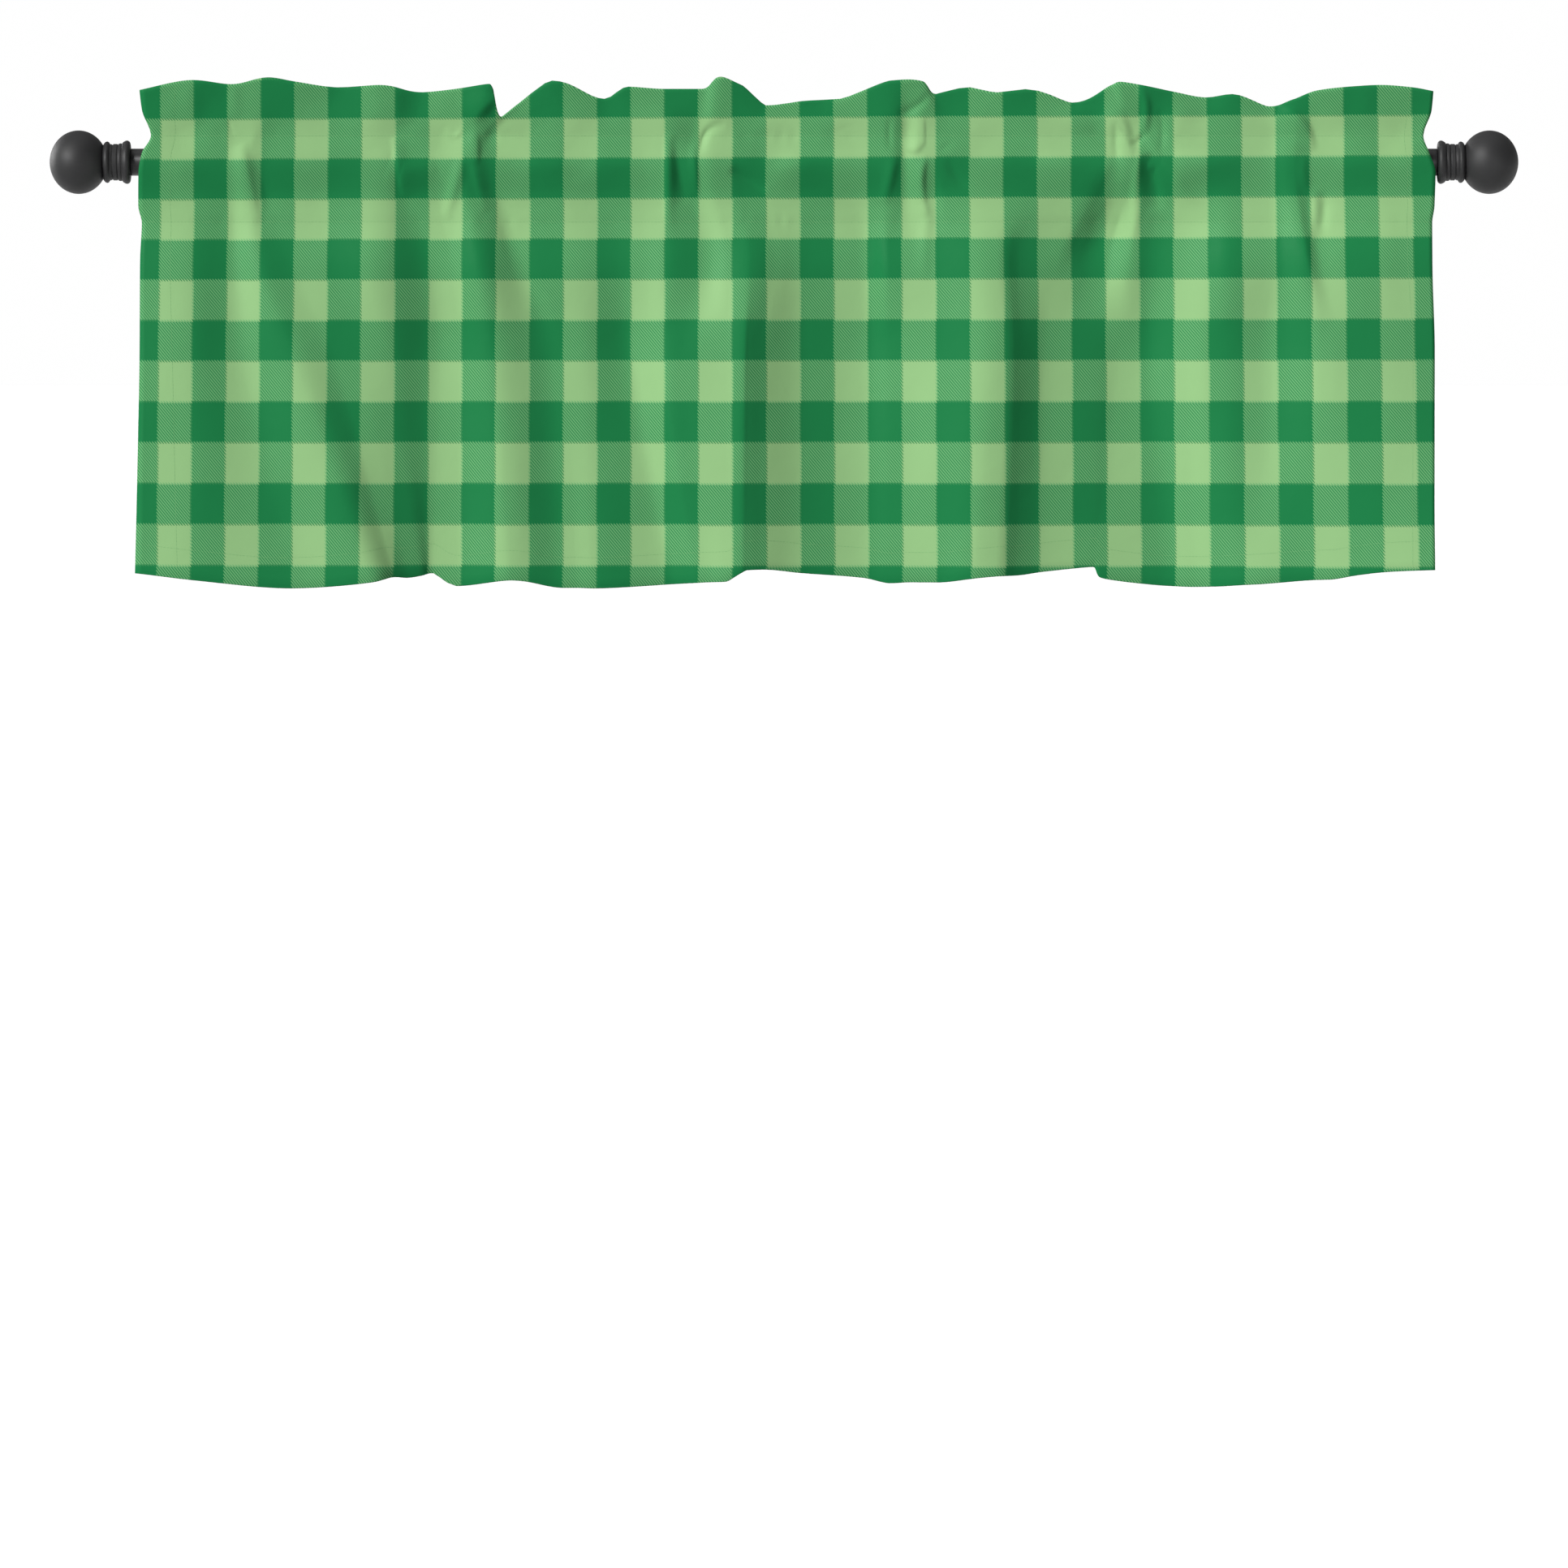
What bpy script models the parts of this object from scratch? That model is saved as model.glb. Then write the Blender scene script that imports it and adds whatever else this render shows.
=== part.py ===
"""A gathered cotton window valance hanging on a plain curtain rod with ball finials.

Frame: metres, origin on the rod's axis at its middle, +X to the right along the rod, +Z up,
and the side that faces the room towards -Y.

The valance is one sewn sheet: a bottom hem, a plain skirt, a flat sleeve that the rod passes
through, and a double heading that stands up above it. Its folds come from one table with a row
for every fold line, which runs from the heading's free edge down to the hem. Each level of the
sheet is a smooth curve through those lines, cut into strips, and the skins follow its normals.
"""

import math

import bmesh
import bpy
import numpy as np

MM = 0.001

# Rod and finials
ROD_RADIUS = 12.5 * MM
ROD_HALF_LENGTH = 602.0 * MM
ROD_SIDES = 48
END_GAP = 0.3 * MM
SOCKET_RADIUS = 4.3 * MM
SOCKET_DEPTH = 16.0 * MM
STUD_RADIUS = 4.0 * MM
STUD_LENGTH = 14.0 * MM
BALL_RADIUS = 29.3 * MM
BALL_HALF_WIDTH = 26.7 * MM
BALL_CENTRE = 650.2 * MM
FINIAL_SIDES = 28
BALL_STEPS = 12

# Collar between rod and ball: (distance from the rod's end, radius) in millimetres, rod side first
COLLAR = (
    (0.0, 13.6),
    (0.3, 17.6),
    (1.4, 19.3),
    (3.2, 20.0),
    (5.6, 19.2),
    (7.2, 18.0),
    (7.9, 17.0),
    (8.8, 17.4),
    (10.8, 17.0),
    (11.5, 16.1),
    (12.4, 16.8),
    (15.6, 16.8),
    (16.5, 15.9),
    (17.4, 16.5),
    (18.8, 16.7),
    (19.8, 18.3),
    (21.4, 19.1),
    (23.0, 18.6),
    (24.6, 16.9),
    (25.2, 15.4),
)

# Cloth
CLOTH = 1.2 * MM
LEFT_EDGE = -596.0 * MM
RIGHT_EDGE = 600.0 * MM
HEADING_SEAM = 24.0 * MM
HEADING_TOP = 72.0 * MM
SLEEVE_SEAM = -55.0 * MM
SLEEVE_EDGE = -58.0 * MM
UPPER_HEIGHT = -88.0 * MM
MIDDLE_HEIGHT = -175.0 * MM
HEM_HEIGHT = -385.0 * MM
KNOTS = (HEM_HEIGHT, MIDDLE_HEIGHT, UPPER_HEIGHT, 0.0, HEADING_SEAM, HEADING_TOP)
CLEAR_OF_ROD = 13.4 * MM
EDGE_REACH = 24.0 * MM

# Section levels: parts of the heading and of the skirt, and heights in the sleeve
HEADING_LEVELS = (0.0, 0.36, 0.7, 1.0)
SKIRT_LEVELS = (0.0, 0.11, 0.27, 0.48, 0.74, 1.0)
SLEEVE_LEVELS = (-36.0, -20.0, -7.3, 0.0, 7.3, 14.5)
STRIP = 11.2 * MM
MOST_STRIPS = 4

# How far in front of the rod's middle the cloth lies where no fold bends it, at each height, and
# the same for the layer behind it: they part only round the rod. Millimetres.
HANG = (
    # height, front, back
    (-385.0, 8.0, 8.0),
    (-250.0, 11.5, 11.5),
    (-100.0, 11.0, 11.0),
    (-55.0, 7.5, 7.5),
    (-44.0, 7.6, 5.6),
    (-30.0, 8.7, 0.0),
    (-16.0, 11.3, -8.0),
    (-6.0, 13.2, -12.6),
    (0.0, 13.9, -13.4),
    (6.0, 14.1, -12.6),
    (13.0, 14.0, -9.0),
    (19.0, 14.0, 2.0),
    (24.0, 14.1, 14.1),
    (48.0, 16.5, 16.5),
    (80.0, 20.5, 20.5),
)

# The cloth's fold lines, left to right, each running from the heading's free edge to the hem.
# Where the line runs at the free edge, the rod, the skirt's upper part, half way down and the hem,
# how far the fold takes the cloth back (+) or forward (-) at each of them, and the heights of the
# free edge and of the hem. Millimetres.
FOLDS = (
    # name                 places: top, rod, upper, middle, hem    depths: the same five        heights
    ("left side",          -596, -596, -596, -596, -596,   0.0,   0.0,  -1.0,  -3.0,   1.0,  65.0, -378.0),
    ("first crest",        -544, -551, -551, -548, -538,  -3.5,  -1.0,  -3.5,  -7.0,  -5.0,  74.0, -385.0),
    ("first dip",          -508, -513, -509, -501, -456,  -1.0,  -0.5,   2.0,   0.5,  -4.0,  70.3, -391.8),
    ("slanting fold",      -474, -495, -483, -452, -380,  -2.5,  -2.5,  -6.0, -11.0, -15.5,  76.5, -386.0),
    ("its foot",           -448, -476, -452, -416, -359,  -1.5,  -1.0,  -2.5,  -4.0,  -4.0,  72.5, -381.4),
    ("its far side",       -410, -430, -418, -392, -348,   3.0,  -0.5,  -3.0,  -3.0,   2.0,  67.5, -382.2),
    ("shoulder",           -372, -374, -378, -367, -336,  -2.0,  -2.0,  -8.5,  -2.0,   6.0,  69.5, -380.6),
    ("second dip",         -332, -347, -326, -317, -324,   3.5,   0.0,   3.5,   9.0,  10.5,  63.0, -378.2),
    ("lifted corner",      -305, -325, -309, -301, -303,  -1.0,   0.0,   1.5,   7.0,   9.5,  65.5, -390.0),
    ("gathered fold",      -271, -293, -281, -267, -252,  -5.0,  -4.0,  -8.5,  -4.0,  -6.0,  70.4, -384.4),
    ("notch",              -260, -263, -243, -214, -203,   2.0,   0.0,   3.0,   6.5,   2.0,  40.6, -391.5),
    ("beside the notch",   -243, -236, -226, -201, -191,   3.5,   0.0,   1.0,   6.0,   2.5,  53.5, -391.5),
    ("second crest",       -213, -203, -196, -186, -175,  -3.0,  -1.0,   0.0,   5.5,   1.0,  73.5, -392.0),
    ("fourth dip",         -165, -158, -152, -144, -108,   3.5,   0.0,   3.0,  12.0,   8.5,  57.0, -388.6),
    ("step up",            -143, -132, -129, -125,  -93,  -1.0,  -1.0,   0.5,   5.0,   4.5,  68.0, -387.6),
    ("pinched fold",       -110, -108, -105, -106,  -80,   1.0,  -3.5,  -4.0,  -4.0,  -1.0,  66.0, -386.8),
    ("pinch",               -76,  -88,  -74,  -90,  -70,   1.5,  -0.5,   0.5,  -6.5,  -4.0,  66.0, -386.2),
    ("sharp fold",          -58,  -66,  -50,  -54,  -54,  -4.5,  -3.0,  -5.5, -11.5, -10.0,  77.0, -385.5),
    ("its sharp edge",      -38,  -50,  -33,  -37,  -39,  -1.0,  -2.0,  -7.5, -14.0, -12.5,  69.0, -377.2),
    ("behind the edge",     -17,  -40,  -25,  -33,  -34,   3.5,  -1.0,  -6.0, -12.4, -11.3,  51.0, -374.8),
    ("beside the edge",       0,  -18,   -7,  -20,  -20,   3.5,   0.0,  -0.8,  -6.8,  -6.5,  52.5, -374.4),
    ("hollow",               18,    8,   15,   22,   16,   3.0,   0.0,   4.0,   8.5,   4.5,  55.0, -377.9),
    ("end of the hollow",    52,   60,   74,   76,   74,   2.0,  -1.0,   8.5,  14.5,  12.0,  57.0, -382.6),
    ("twin fold, left",      98,   95,   96,   98,   98,  -4.5,  -3.5,  -3.0,   8.0,   9.5,  73.5, -387.4),
    ("twin dip",            114,  111,  113,  119,  117,  -4.5,   0.0,  -3.5,   2.0,   7.0,  74.5, -386.5),
    ("twin fold, right",    127,  124,  133,  144,  140,  -3.5,  -3.5,  -5.0,  -5.0,   2.5,  73.0, -386.5),
    ("broad fold",          140,  176,  182,  191,  181,   2.0,  -2.0, -13.0, -15.5,  -9.0,  61.4, -382.0),
    ("its round edge",      171,  212,  200,  206,  199,   3.5,  -0.5, -11.0, -14.0,  -8.0,  67.6, -380.5),
    ("its small dip",       196,  232,  208,  212,  206,   0.5,   0.0,  -7.0, -11.0,  -5.0,  62.8, -380.3),
    ("its steep side",      222,  252,  216,  219,  215,  -1.5,   0.0,  -2.5,  -6.5,   0.0,  65.7, -380.0),
    ("deep dip",            265,  298,  256,  241,  238,   3.5,   0.0,   8.0,   4.5,   8.0,  53.5, -377.0),
    ("crossing fold",       301,  319,  299,  290,  286,   2.0,  -3.5,  16.0,  15.0,  14.0,  69.5, -372.5),
    ("front corner",        309,  332,  320,  312,  292,  -4.0,   0.0,   8.5,  19.0,  15.0,  72.4, -382.0),
    ("long dip",            328,  344,  338,  333,  352,  -5.0,   0.0,  10.0,  20.5,  20.5,  69.5, -390.0),
    ("tall fold",           360,  368,  366,  368,  378,  -0.5,  -3.0,   4.5,   9.5,  17.0,  63.0, -391.0),
    ("its saddle",          388,  388,  390,  390,  400,   3.0,  -2.0,  -3.5,   1.0,   9.5,  58.2, -390.5),
    ("its side",            412,  408,  411,  412,  422,  -1.5,  -1.0,  -9.5,  -1.5,   2.0,  61.2, -389.0),
    ("soft dip",            446,  445,  452,  443,  440,   3.5,   0.0,  -6.0,   1.0,  -2.0,  50.0, -388.0),
    ("last fold",           470,  469,  480,  496,  490,   0.0,  -3.0, -13.5, -12.0,  -7.5,  57.0, -384.0),
    ("last pinch",          490,  484,  494,  511,  504,  -1.5,  -0.5,  -9.0, -12.8, -10.0,  64.5, -383.5),
    ("side rise",           520,  512,  518,  530,  528,  -3.0,  -1.5, -11.0, -12.5, -14.0,  68.0, -379.5),
    ("last crest",          548,  546,  546,  553,  553,  -3.5,  -0.5, -11.0, -11.5, -18.0,  69.5, -376.5),
    ("side dip",            578,  576,  577,  581,  581,  -1.5,   0.0,  -7.5,  -8.5, -20.5,  67.5, -375.0),
    ("right side",          600,  600,  600,  600,  600,   0.0,   0.0,  -5.0,  -6.0, -21.0,  64.0, -374.5),
)

# How far the side edges pull in towards the middle at each height. Millimetres.
SIDE_PULL = (
    # height  left  right
    (-385.0, -3.2, 0.4),
    (-316.0, -1.0, 1.0),
    (-250.0, 0.8, 0.9),
    (-180.0, 2.4, 0.8),
    (-90.0, 3.0, 3.2),
    (-56.0, 4.4, 3.1),
    (-40.0, 1.2, 0.9),
    (-10.0, 1.8, 0.2),
    (8.0, 5.0, 6.0),
    (24.0, 13.6, 11.7),
    (52.0, 5.5, 4.5),
    (80.0, 3.0, 2.7),
)


def between(places, values, wanted):
    """Smooth curve through the values that never swings past them, flat at each high and low."""
    places = np.asarray(places, float)
    values = np.asarray(values, float)
    steps = np.diff(places)
    slopes = np.diff(values) / steps
    turns = np.zeros(len(places))
    same_way = slopes[:-1] * slopes[1:] > 0
    before, after = slopes[:-1][same_way], slopes[1:][same_way]
    turns[1:-1][same_way] = 2 * before * after / (before + after)
    turns[0], turns[-1] = slopes[0], slopes[-1]
    cell = np.clip(np.searchsorted(places, wanted) - 1, 0, len(steps) - 1)
    step = steps[cell]
    t = np.clip((wanted - places[cell]) / step, 0.0, 1.0)
    start, end = values[cell], values[cell + 1]
    rise = step * ((1 - t) ** 2 * t * turns[cell] - (1 - t) * t**2 * turns[cell + 1])
    return start * (1 + 2 * t) * (1 - t) ** 2 + end * t**2 * (3 - 2 * t) + rise


def column(table, index):
    return np.array([row[index] for row in table], float) * MM


def fold_lines(height):
    """Where each fold line runs at this height, and how far back the cloth lies there."""
    at_top, at_rod, at_upper, at_middle, at_hem = (column(FOLDS, i) for i in range(1, 6))
    lean, at_axis, upper, middle, hem = (column(FOLDS, i) for i in range(6, 11))
    near_seam = at_rod + (at_top - at_rod) * HEADING_SEAM / HEADING_TOP
    places = zip(at_hem, at_middle, at_upper, at_rod, near_seam, at_top)
    depths = zip(hem, middle, upper, at_axis, at_axis, lean)
    places = [between(KNOTS, line, height) for line in places]
    depths = [between(KNOTS, line, height) for line in depths]
    return np.array(places), np.array(depths)


def line_spacing():
    """A running number for each fold line: its distance along the cloth half way down."""
    places, depths = fold_lines(MIDDLE_HEIGHT)
    return np.concatenate([[0.0], np.cumsum(np.hypot(np.diff(places), np.diff(depths)))])


def cloth_row(stations, height, real_height, back=False):
    """A level of the sheet, or of the sleeve's back layer: a point for each station."""
    places, depths = fold_lines(height)
    spacing = line_spacing()
    across = between(spacing, places, stations)
    forward = between(column(HANG, 0), column(HANG, 2 if back else 1), height)
    depth = between(spacing, depths, stations) - forward
    if abs(height) < CLEAR_OF_ROD:
        side = 1 if back else -1
        depth = side * np.maximum(side * depth, math.sqrt(CLEAR_OF_ROD**2 - height**2))
    x = across + side_shift(across, height)
    return np.stack([x, depth, np.broadcast_to(real_height, x.shape)], axis=1)


def side_shift(across, height):
    """The side edges pull in at the seams, which fades within a few fingers' width of each edge."""
    heights = column(SIDE_PULL, 0)
    left = between(heights, column(SIDE_PULL, 1), height)
    right = between(heights, column(SIDE_PULL, 2), height)
    from_left = np.exp(-(across - LEFT_EDGE) / EDGE_REACH)
    from_right = np.exp(-(RIGHT_EDGE - across) / EDGE_REACH)
    return left * from_left - right * from_right


def heading_row(stations, part):
    """A level of the heading, part 0 at its seam and 1 at its free edge."""
    top = between(line_spacing(), column(FOLDS, 11), stations)
    height = HEADING_SEAM + part * (HEADING_TOP - HEADING_SEAM)
    return cloth_row(stations, height, HEADING_SEAM + part * (top - HEADING_SEAM))


def skirt_row(stations, part):
    """A level of the skirt, part 0 at the sleeve's lower edge and 1 at the hem."""
    hem = between(line_spacing(), column(FOLDS, 12), stations)
    height = SLEEVE_EDGE + part * (HEM_HEIGHT - SLEEVE_EDGE)
    return cloth_row(stations, height, SLEEVE_EDGE + part * (hem - SLEEVE_EDGE))


def normals(rows):
    """Unit normals towards the room for a grid of levels (hem first) by stations."""
    up = np.gradient(rows, axis=0)
    along = np.gradient(rows, axis=1)
    found = np.cross(along, up)
    return found / np.linalg.norm(found, axis=2, keepdims=True)


def cut_stations():
    """Where the sheet is cut into strips: evenly between each fold line and the next."""
    spacing = line_spacing()
    found = []
    for start, end in zip(spacing, spacing[1:]):
        strips = min(max(round((end - start) / STRIP), 1), MOST_STRIPS)
        found += list(np.linspace(start, end, strips, endpoint=False))
    return np.array(found + [spacing[-1]])


def sheet_levels(stations):
    """Levels of the sewn sheet, each a row of points: its outer ring, and the sleeve's inner ring."""
    skirt = [skirt_row(stations, part) for part in SKIRT_LEVELS[::-1]]
    heading = [heading_row(stations, part) for part in HEADING_LEVELS]
    sleeve = [height * MM for height in SLEEVE_LEVELS]
    front = [cloth_row(stations, height, height) for height in sleeve]
    back = [cloth_row(stations, height, height, back=True) for height in sleeve]
    low_seam = cloth_row(stations, SLEEVE_SEAM, SLEEVE_SEAM)
    front_sheet = np.array(skirt + front + heading)
    back_sheet = np.array(skirt[-1:] + back + heading)
    front_skin = front_sheet + CLOTH * normals(front_sheet)
    back_skin = back_sheet - CLOTH * normals(back_sheet)
    outer = list(front_skin) + list(back_skin[::-1]) + skirt[::-1]
    inner = [low_seam] + front + heading[:1] + back[::-1]
    return np.array(outer), np.array(inner)


def ring_faces(levels, turn, count, offset):
    """Triangles between neighbouring levels of a closed ring, over all the stations. Past the turn
    the levels run down the back, where the other diagonal keeps both faces of the cloth alike."""
    faces = []
    for level in range(levels):
        here = offset + level * count
        there = offset + (level + 1) % levels * count
        for i in range(count - 1):
            a, b, c, d = here + i, here + i + 1, there + i + 1, there + i
            faces += [(a, b, c), (a, c, d)] if level < turn else [(a, b, d), (b, c, d)]
    return faces


def end_faces(station, count, levels, inner_offset):
    """Triangles that close one cut edge of the sheet, leaving the sleeve open."""
    skirt, sleeve, heading = len(SKIRT_LEVELS), len(SLEEVE_LEVELS), len(HEADING_LEVELS)
    front = skirt + sleeve + heading

    def outer(level):
        return level * count + station

    def inner(level):
        return inner_offset + level % (2 * sleeve + 2) * count + station

    quads = []
    for k in range(skirt - 1):
        quads.append((outer(k), outer(k + 1), outer(levels - 2 - k), outer(levels - 1 - k)))
    edge = outer(levels - skirt)
    back_edge = outer(levels - skirt - 1)
    quads.append((outer(skirt - 1), inner(0), edge))
    quads.append((edge, inner(0), back_edge))
    for k in range(sleeve + 1):
        quads.append((outer(skirt - 1 + k), outer(skirt + k), inner(k + 1), inner(k)))
        back = levels - skirt - 1 - k
        quads.append((outer(back), inner(-k), inner(-k - 1), outer(back - 1)))
    seam = skirt + sleeve
    quads.append((outer(seam), outer(2 * front - seam - 1), inner(sleeve + 1)))
    for k in range(seam, front - 1):
        quads.append((outer(k), outer(k + 1), outer(2 * front - k - 2), outer(2 * front - k - 1)))
    return quads


def add_mesh(name, points, faces, material, smooth_angle=None):
    mesh = bpy.data.meshes.new(name)
    mesh.from_pydata([tuple(p) for p in points], [], faces)
    facing = bmesh.new()
    facing.from_mesh(mesh)
    bmesh.ops.recalc_face_normals(facing, faces=facing.faces)
    facing.to_mesh(mesh)
    facing.free()
    mesh.materials.append(material)
    if smooth_angle is not None:
        mesh.shade_smooth()
        mesh.set_sharp_from_angle(angle=smooth_angle)
    piece = bpy.data.objects.new(name, mesh)
    bpy.context.scene.collection.objects.link(piece)
    return piece


def make_material(name, colour, roughness, metallic):
    material = bpy.data.materials.new(name)
    material.use_nodes = True
    shader = material.node_tree.nodes["Principled BSDF"]
    shader.inputs["Base Color"].default_value = (*colour, 1.0)
    shader.inputs["Roughness"].default_value = roughness
    shader.inputs["Metallic"].default_value = metallic
    return material


def make_valance(material):
    stations = cut_stations()
    outer, inner = sheet_levels(stations)
    count = len(stations)
    points = np.concatenate([outer.reshape(-1, 3), inner.reshape(-1, 3)])
    inner_offset = len(outer) * count
    front_levels = len(SKIRT_LEVELS) + len(SLEEVE_LEVELS) + len(HEADING_LEVELS)
    faces = ring_faces(len(outer), front_levels, count, 0)
    faces += ring_faces(len(inner), len(inner) // 2, count, inner_offset)
    for station in (0, count - 1):
        faces += end_faces(station, count, len(outer), inner_offset)
    return add_mesh("valance", points, faces, material, math.radians(50))


def turned(name, profile, sides, material, place=0.0, flip=1):
    """A closed turned piece along X from (distance, radius) pairs that start and end on the axis."""
    points, rings = [], []
    for along, radius in profile:
        turns = 1 if radius == 0 else sides
        rings.append(range(len(points), len(points) + turns))
        for k in range(turns):
            angle = 2 * math.pi * k / sides
            points.append((place + flip * along, radius * math.cos(angle), radius * math.sin(angle)))
    faces = []
    for ring, following in zip(rings, rings[1:]):
        for k in range(sides):
            a, b = ring[k % len(ring)], ring[(k + 1) % len(ring)]
            c, d = following[(k + 1) % len(following)], following[k % len(following)]
            faces.append(tuple(dict.fromkeys((a, b, c, d))))
    return add_mesh(name, points, faces, material, math.radians(35))


def rod_profile():
    """A bar with a blind socket in each end for the finials' studs."""
    bevel = 0.6 * MM
    inner, end = ROD_HALF_LENGTH - SOCKET_DEPTH, ROD_HALF_LENGTH
    half = [(inner, 0.0), (inner, SOCKET_RADIUS), (end, SOCKET_RADIUS)]
    half += [(end, ROD_RADIUS - bevel), (end - bevel, ROD_RADIUS)]
    return [(-x, r) for x, r in half] + [(x, r) for x, r in half[::-1]]


def finial_profile():
    """Stud, collar and slightly flattened ball, measured outwards from the rod's end."""
    start = END_GAP
    profile = [(start - STUD_LENGTH, 0.0), (start - STUD_LENGTH, STUD_RADIUS), (start, STUD_RADIUS)]
    profile += [(start + x * MM, r * MM) for x, r in COLLAR]
    centre = BALL_CENTRE - ROD_HALF_LENGTH
    opening = math.asin(profile[-1][1] / BALL_RADIUS)
    for k in range(1, BALL_STEPS + 1):
        angle = opening + (math.pi - opening) * k / BALL_STEPS
        radius = 0.0 if k == BALL_STEPS else BALL_RADIUS * math.sin(angle)
        profile.append((centre - BALL_HALF_WIDTH * math.cos(angle), radius))
    return profile


def main():
    for old in list(bpy.data.objects):
        bpy.data.objects.remove(old, do_unlink=True)
    cloth = make_material("green check cloth", (0.09, 0.36, 0.13), 0.85, 0.0)
    paint = make_material("black painted metal", (0.025, 0.025, 0.027), 0.42, 0.6)
    make_valance(cloth)
    turned("rod", rod_profile(), ROD_SIDES, paint)
    for name, flip in (("finial_left", -1), ("finial_right", 1)):
        turned(name, finial_profile(), FINIAL_SIDES, paint, flip * ROD_HALF_LENGTH, flip)


main()
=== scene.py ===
"""The looks of a gathered gingham valance that hangs on a curtain rod with ball finials.

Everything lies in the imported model's frame: metres, the origin on the rod's axis at its middle,
+X along the rod, +Z up, and the room on the -Y side. The cloth is one cut piece, followed along its
length: from the turned-up hem, up the face of the skirt, sleeve and heading, over the heading's free
edge, and down the back to the seam that closes the sleeve.
"""

import math

import bpy
import numpy as np
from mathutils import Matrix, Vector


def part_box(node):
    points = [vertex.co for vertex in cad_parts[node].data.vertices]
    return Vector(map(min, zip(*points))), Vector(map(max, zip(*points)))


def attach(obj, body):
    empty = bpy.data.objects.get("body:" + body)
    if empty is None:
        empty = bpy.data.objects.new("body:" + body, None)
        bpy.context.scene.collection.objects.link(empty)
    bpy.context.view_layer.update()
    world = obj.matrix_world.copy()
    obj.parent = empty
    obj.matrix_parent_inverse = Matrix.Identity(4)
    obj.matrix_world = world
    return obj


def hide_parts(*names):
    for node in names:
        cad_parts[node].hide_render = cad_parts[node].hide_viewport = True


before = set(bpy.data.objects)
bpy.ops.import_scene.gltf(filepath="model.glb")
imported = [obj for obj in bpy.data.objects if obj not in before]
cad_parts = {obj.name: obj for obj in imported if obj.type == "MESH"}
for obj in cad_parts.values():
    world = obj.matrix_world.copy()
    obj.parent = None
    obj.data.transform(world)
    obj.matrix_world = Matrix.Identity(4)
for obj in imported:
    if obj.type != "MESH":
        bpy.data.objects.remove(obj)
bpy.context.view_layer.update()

MM = 0.001

# Rod and finials: how far they reach comes from the frame
ROD_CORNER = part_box("rod")[1]
ROD_RADIUS = ROD_CORNER.z
ROD_HALF_LENGTH = ROD_CORNER.x
ROD_EASE = 0.6 * MM
END_GAP = 0.3 * MM
STUD_RADIUS = 4.0 * MM
STUD_LENGTH = 14.0 * MM
FINIAL_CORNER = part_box("finial_right")[1]
BALL_RADIUS = FINIAL_CORNER.z
BALL_HALF_WIDTH = 26.7 * MM
BALL_CENTRE = FINIAL_CORNER.x - BALL_HALF_WIDTH
BALL_STEPS = 48
COLLAR_STEPS = 64
TURNED_SIDES = 96
SHARP_ANGLE = math.radians(40)

# Satin black: its colour, how much lighter its clouds are, and how far its roughness strays
BLACK = (0.009, 0.009, 0.0095)
CLOUD_LIFT = 1.35
ROUGHNESS_STRAY = 0.16

# The cloth's thickness, and how far its face and its turned-up hem lie before the hanging shape
THICKNESS = 0.7 * MM
FACE_OFFSET = 0.6 * MM
TURN_UP_OFFSET = -0.5 * MM

# Its edges and seams, and the heights at which the table of folds says where each fold runs
LEFT_EDGE = -596.0 * MM
RIGHT_EDGE = 600.0 * MM
HEADING_SEAM = 24.0 * MM
HEADING_TOP = 72.0 * MM
SLEEVE_SEAM = -55.0 * MM
SLEEVE_EDGE = -58.0 * MM
UPPER_HEIGHT = -88.0 * MM
MIDDLE_HEIGHT = -175.0 * MM
HEM_HEIGHT = -385.0 * MM
KNOTS = (HEM_HEIGHT, MIDDLE_HEIGHT, UPPER_HEIGHT, 0.0, HEADING_SEAM, HEADING_TOP)
HEM_DEPTH = 27.0 * MM
SIDE_HEM = 25.0 * MM

# The nearest that it comes to the rod's axis, and two distances over which a thing fades to a third:
# the face's creases over the gap to the layer behind, and a side edge's pull inwards
CLEAR_OF_ROD = 13.4 * MM
LAYER_GAP = 4.0 * MM
EDGE_REACH = 24.0 * MM

# How finely the sheet is divided: a column of points every STATION within CREASE_REACH of a crease
# with a side under NARROW, both in millimetres, and one in COARSE of those elsewhere
STATION = 1.8 * MM
LEAST_STATIONS = 4
COARSE = 3
NARROW = 5.0
CREASE_REACH = 6.4
SKIRT_ROWS = 26
SKIRT_CROWD = 1.3
TURN_UP_ROWS = 3
SLEEVE_ROWS = 33
HEADING_ROWS = 18
BACK_HEADING_ROWS = 7
BACK_SLEEVE_ROWS = 12
TURN_STEPS = 4

# How far in front of the rod's middle the cloth lies where no fold bends it, at each height, and
# the same for the layer behind it: they part only round the rod. Millimetres.
HANG = (
    # height, front, back
    (-385.0, 8.0, 8.0),
    (-250.0, 11.5, 11.5),
    (-100.0, 11.0, 11.0),
    (-55.0, 7.5, 7.5),
    (-44.0, 7.6, 5.6),
    (-30.0, 8.7, 0.0),
    (-16.0, 11.3, -8.0),
    (-6.0, 13.2, -12.6),
    (0.0, 13.9, -13.4),
    (6.0, 14.1, -12.6),
    (13.0, 14.0, -9.0),
    (19.0, 14.0, 2.0),
    (24.0, 14.1, 14.1),
    (48.0, 16.5, 16.5),
    (80.0, 20.5, 20.5),
)

# The print's columns: the width of one at the rod and what each metre down adds to it, where the
# middle of one lies, how far they lean in each metre down, and how they widen to the right
COLUMN_WIDTH = 31.13 * MM
COLUMN_FLARE = 0.82 * MM
COLUMN_MIDDLE = -0.9 * MM
COLUMN_LEAN = 2.0 * MM
COLUMN_BOW = 0.0003

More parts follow.
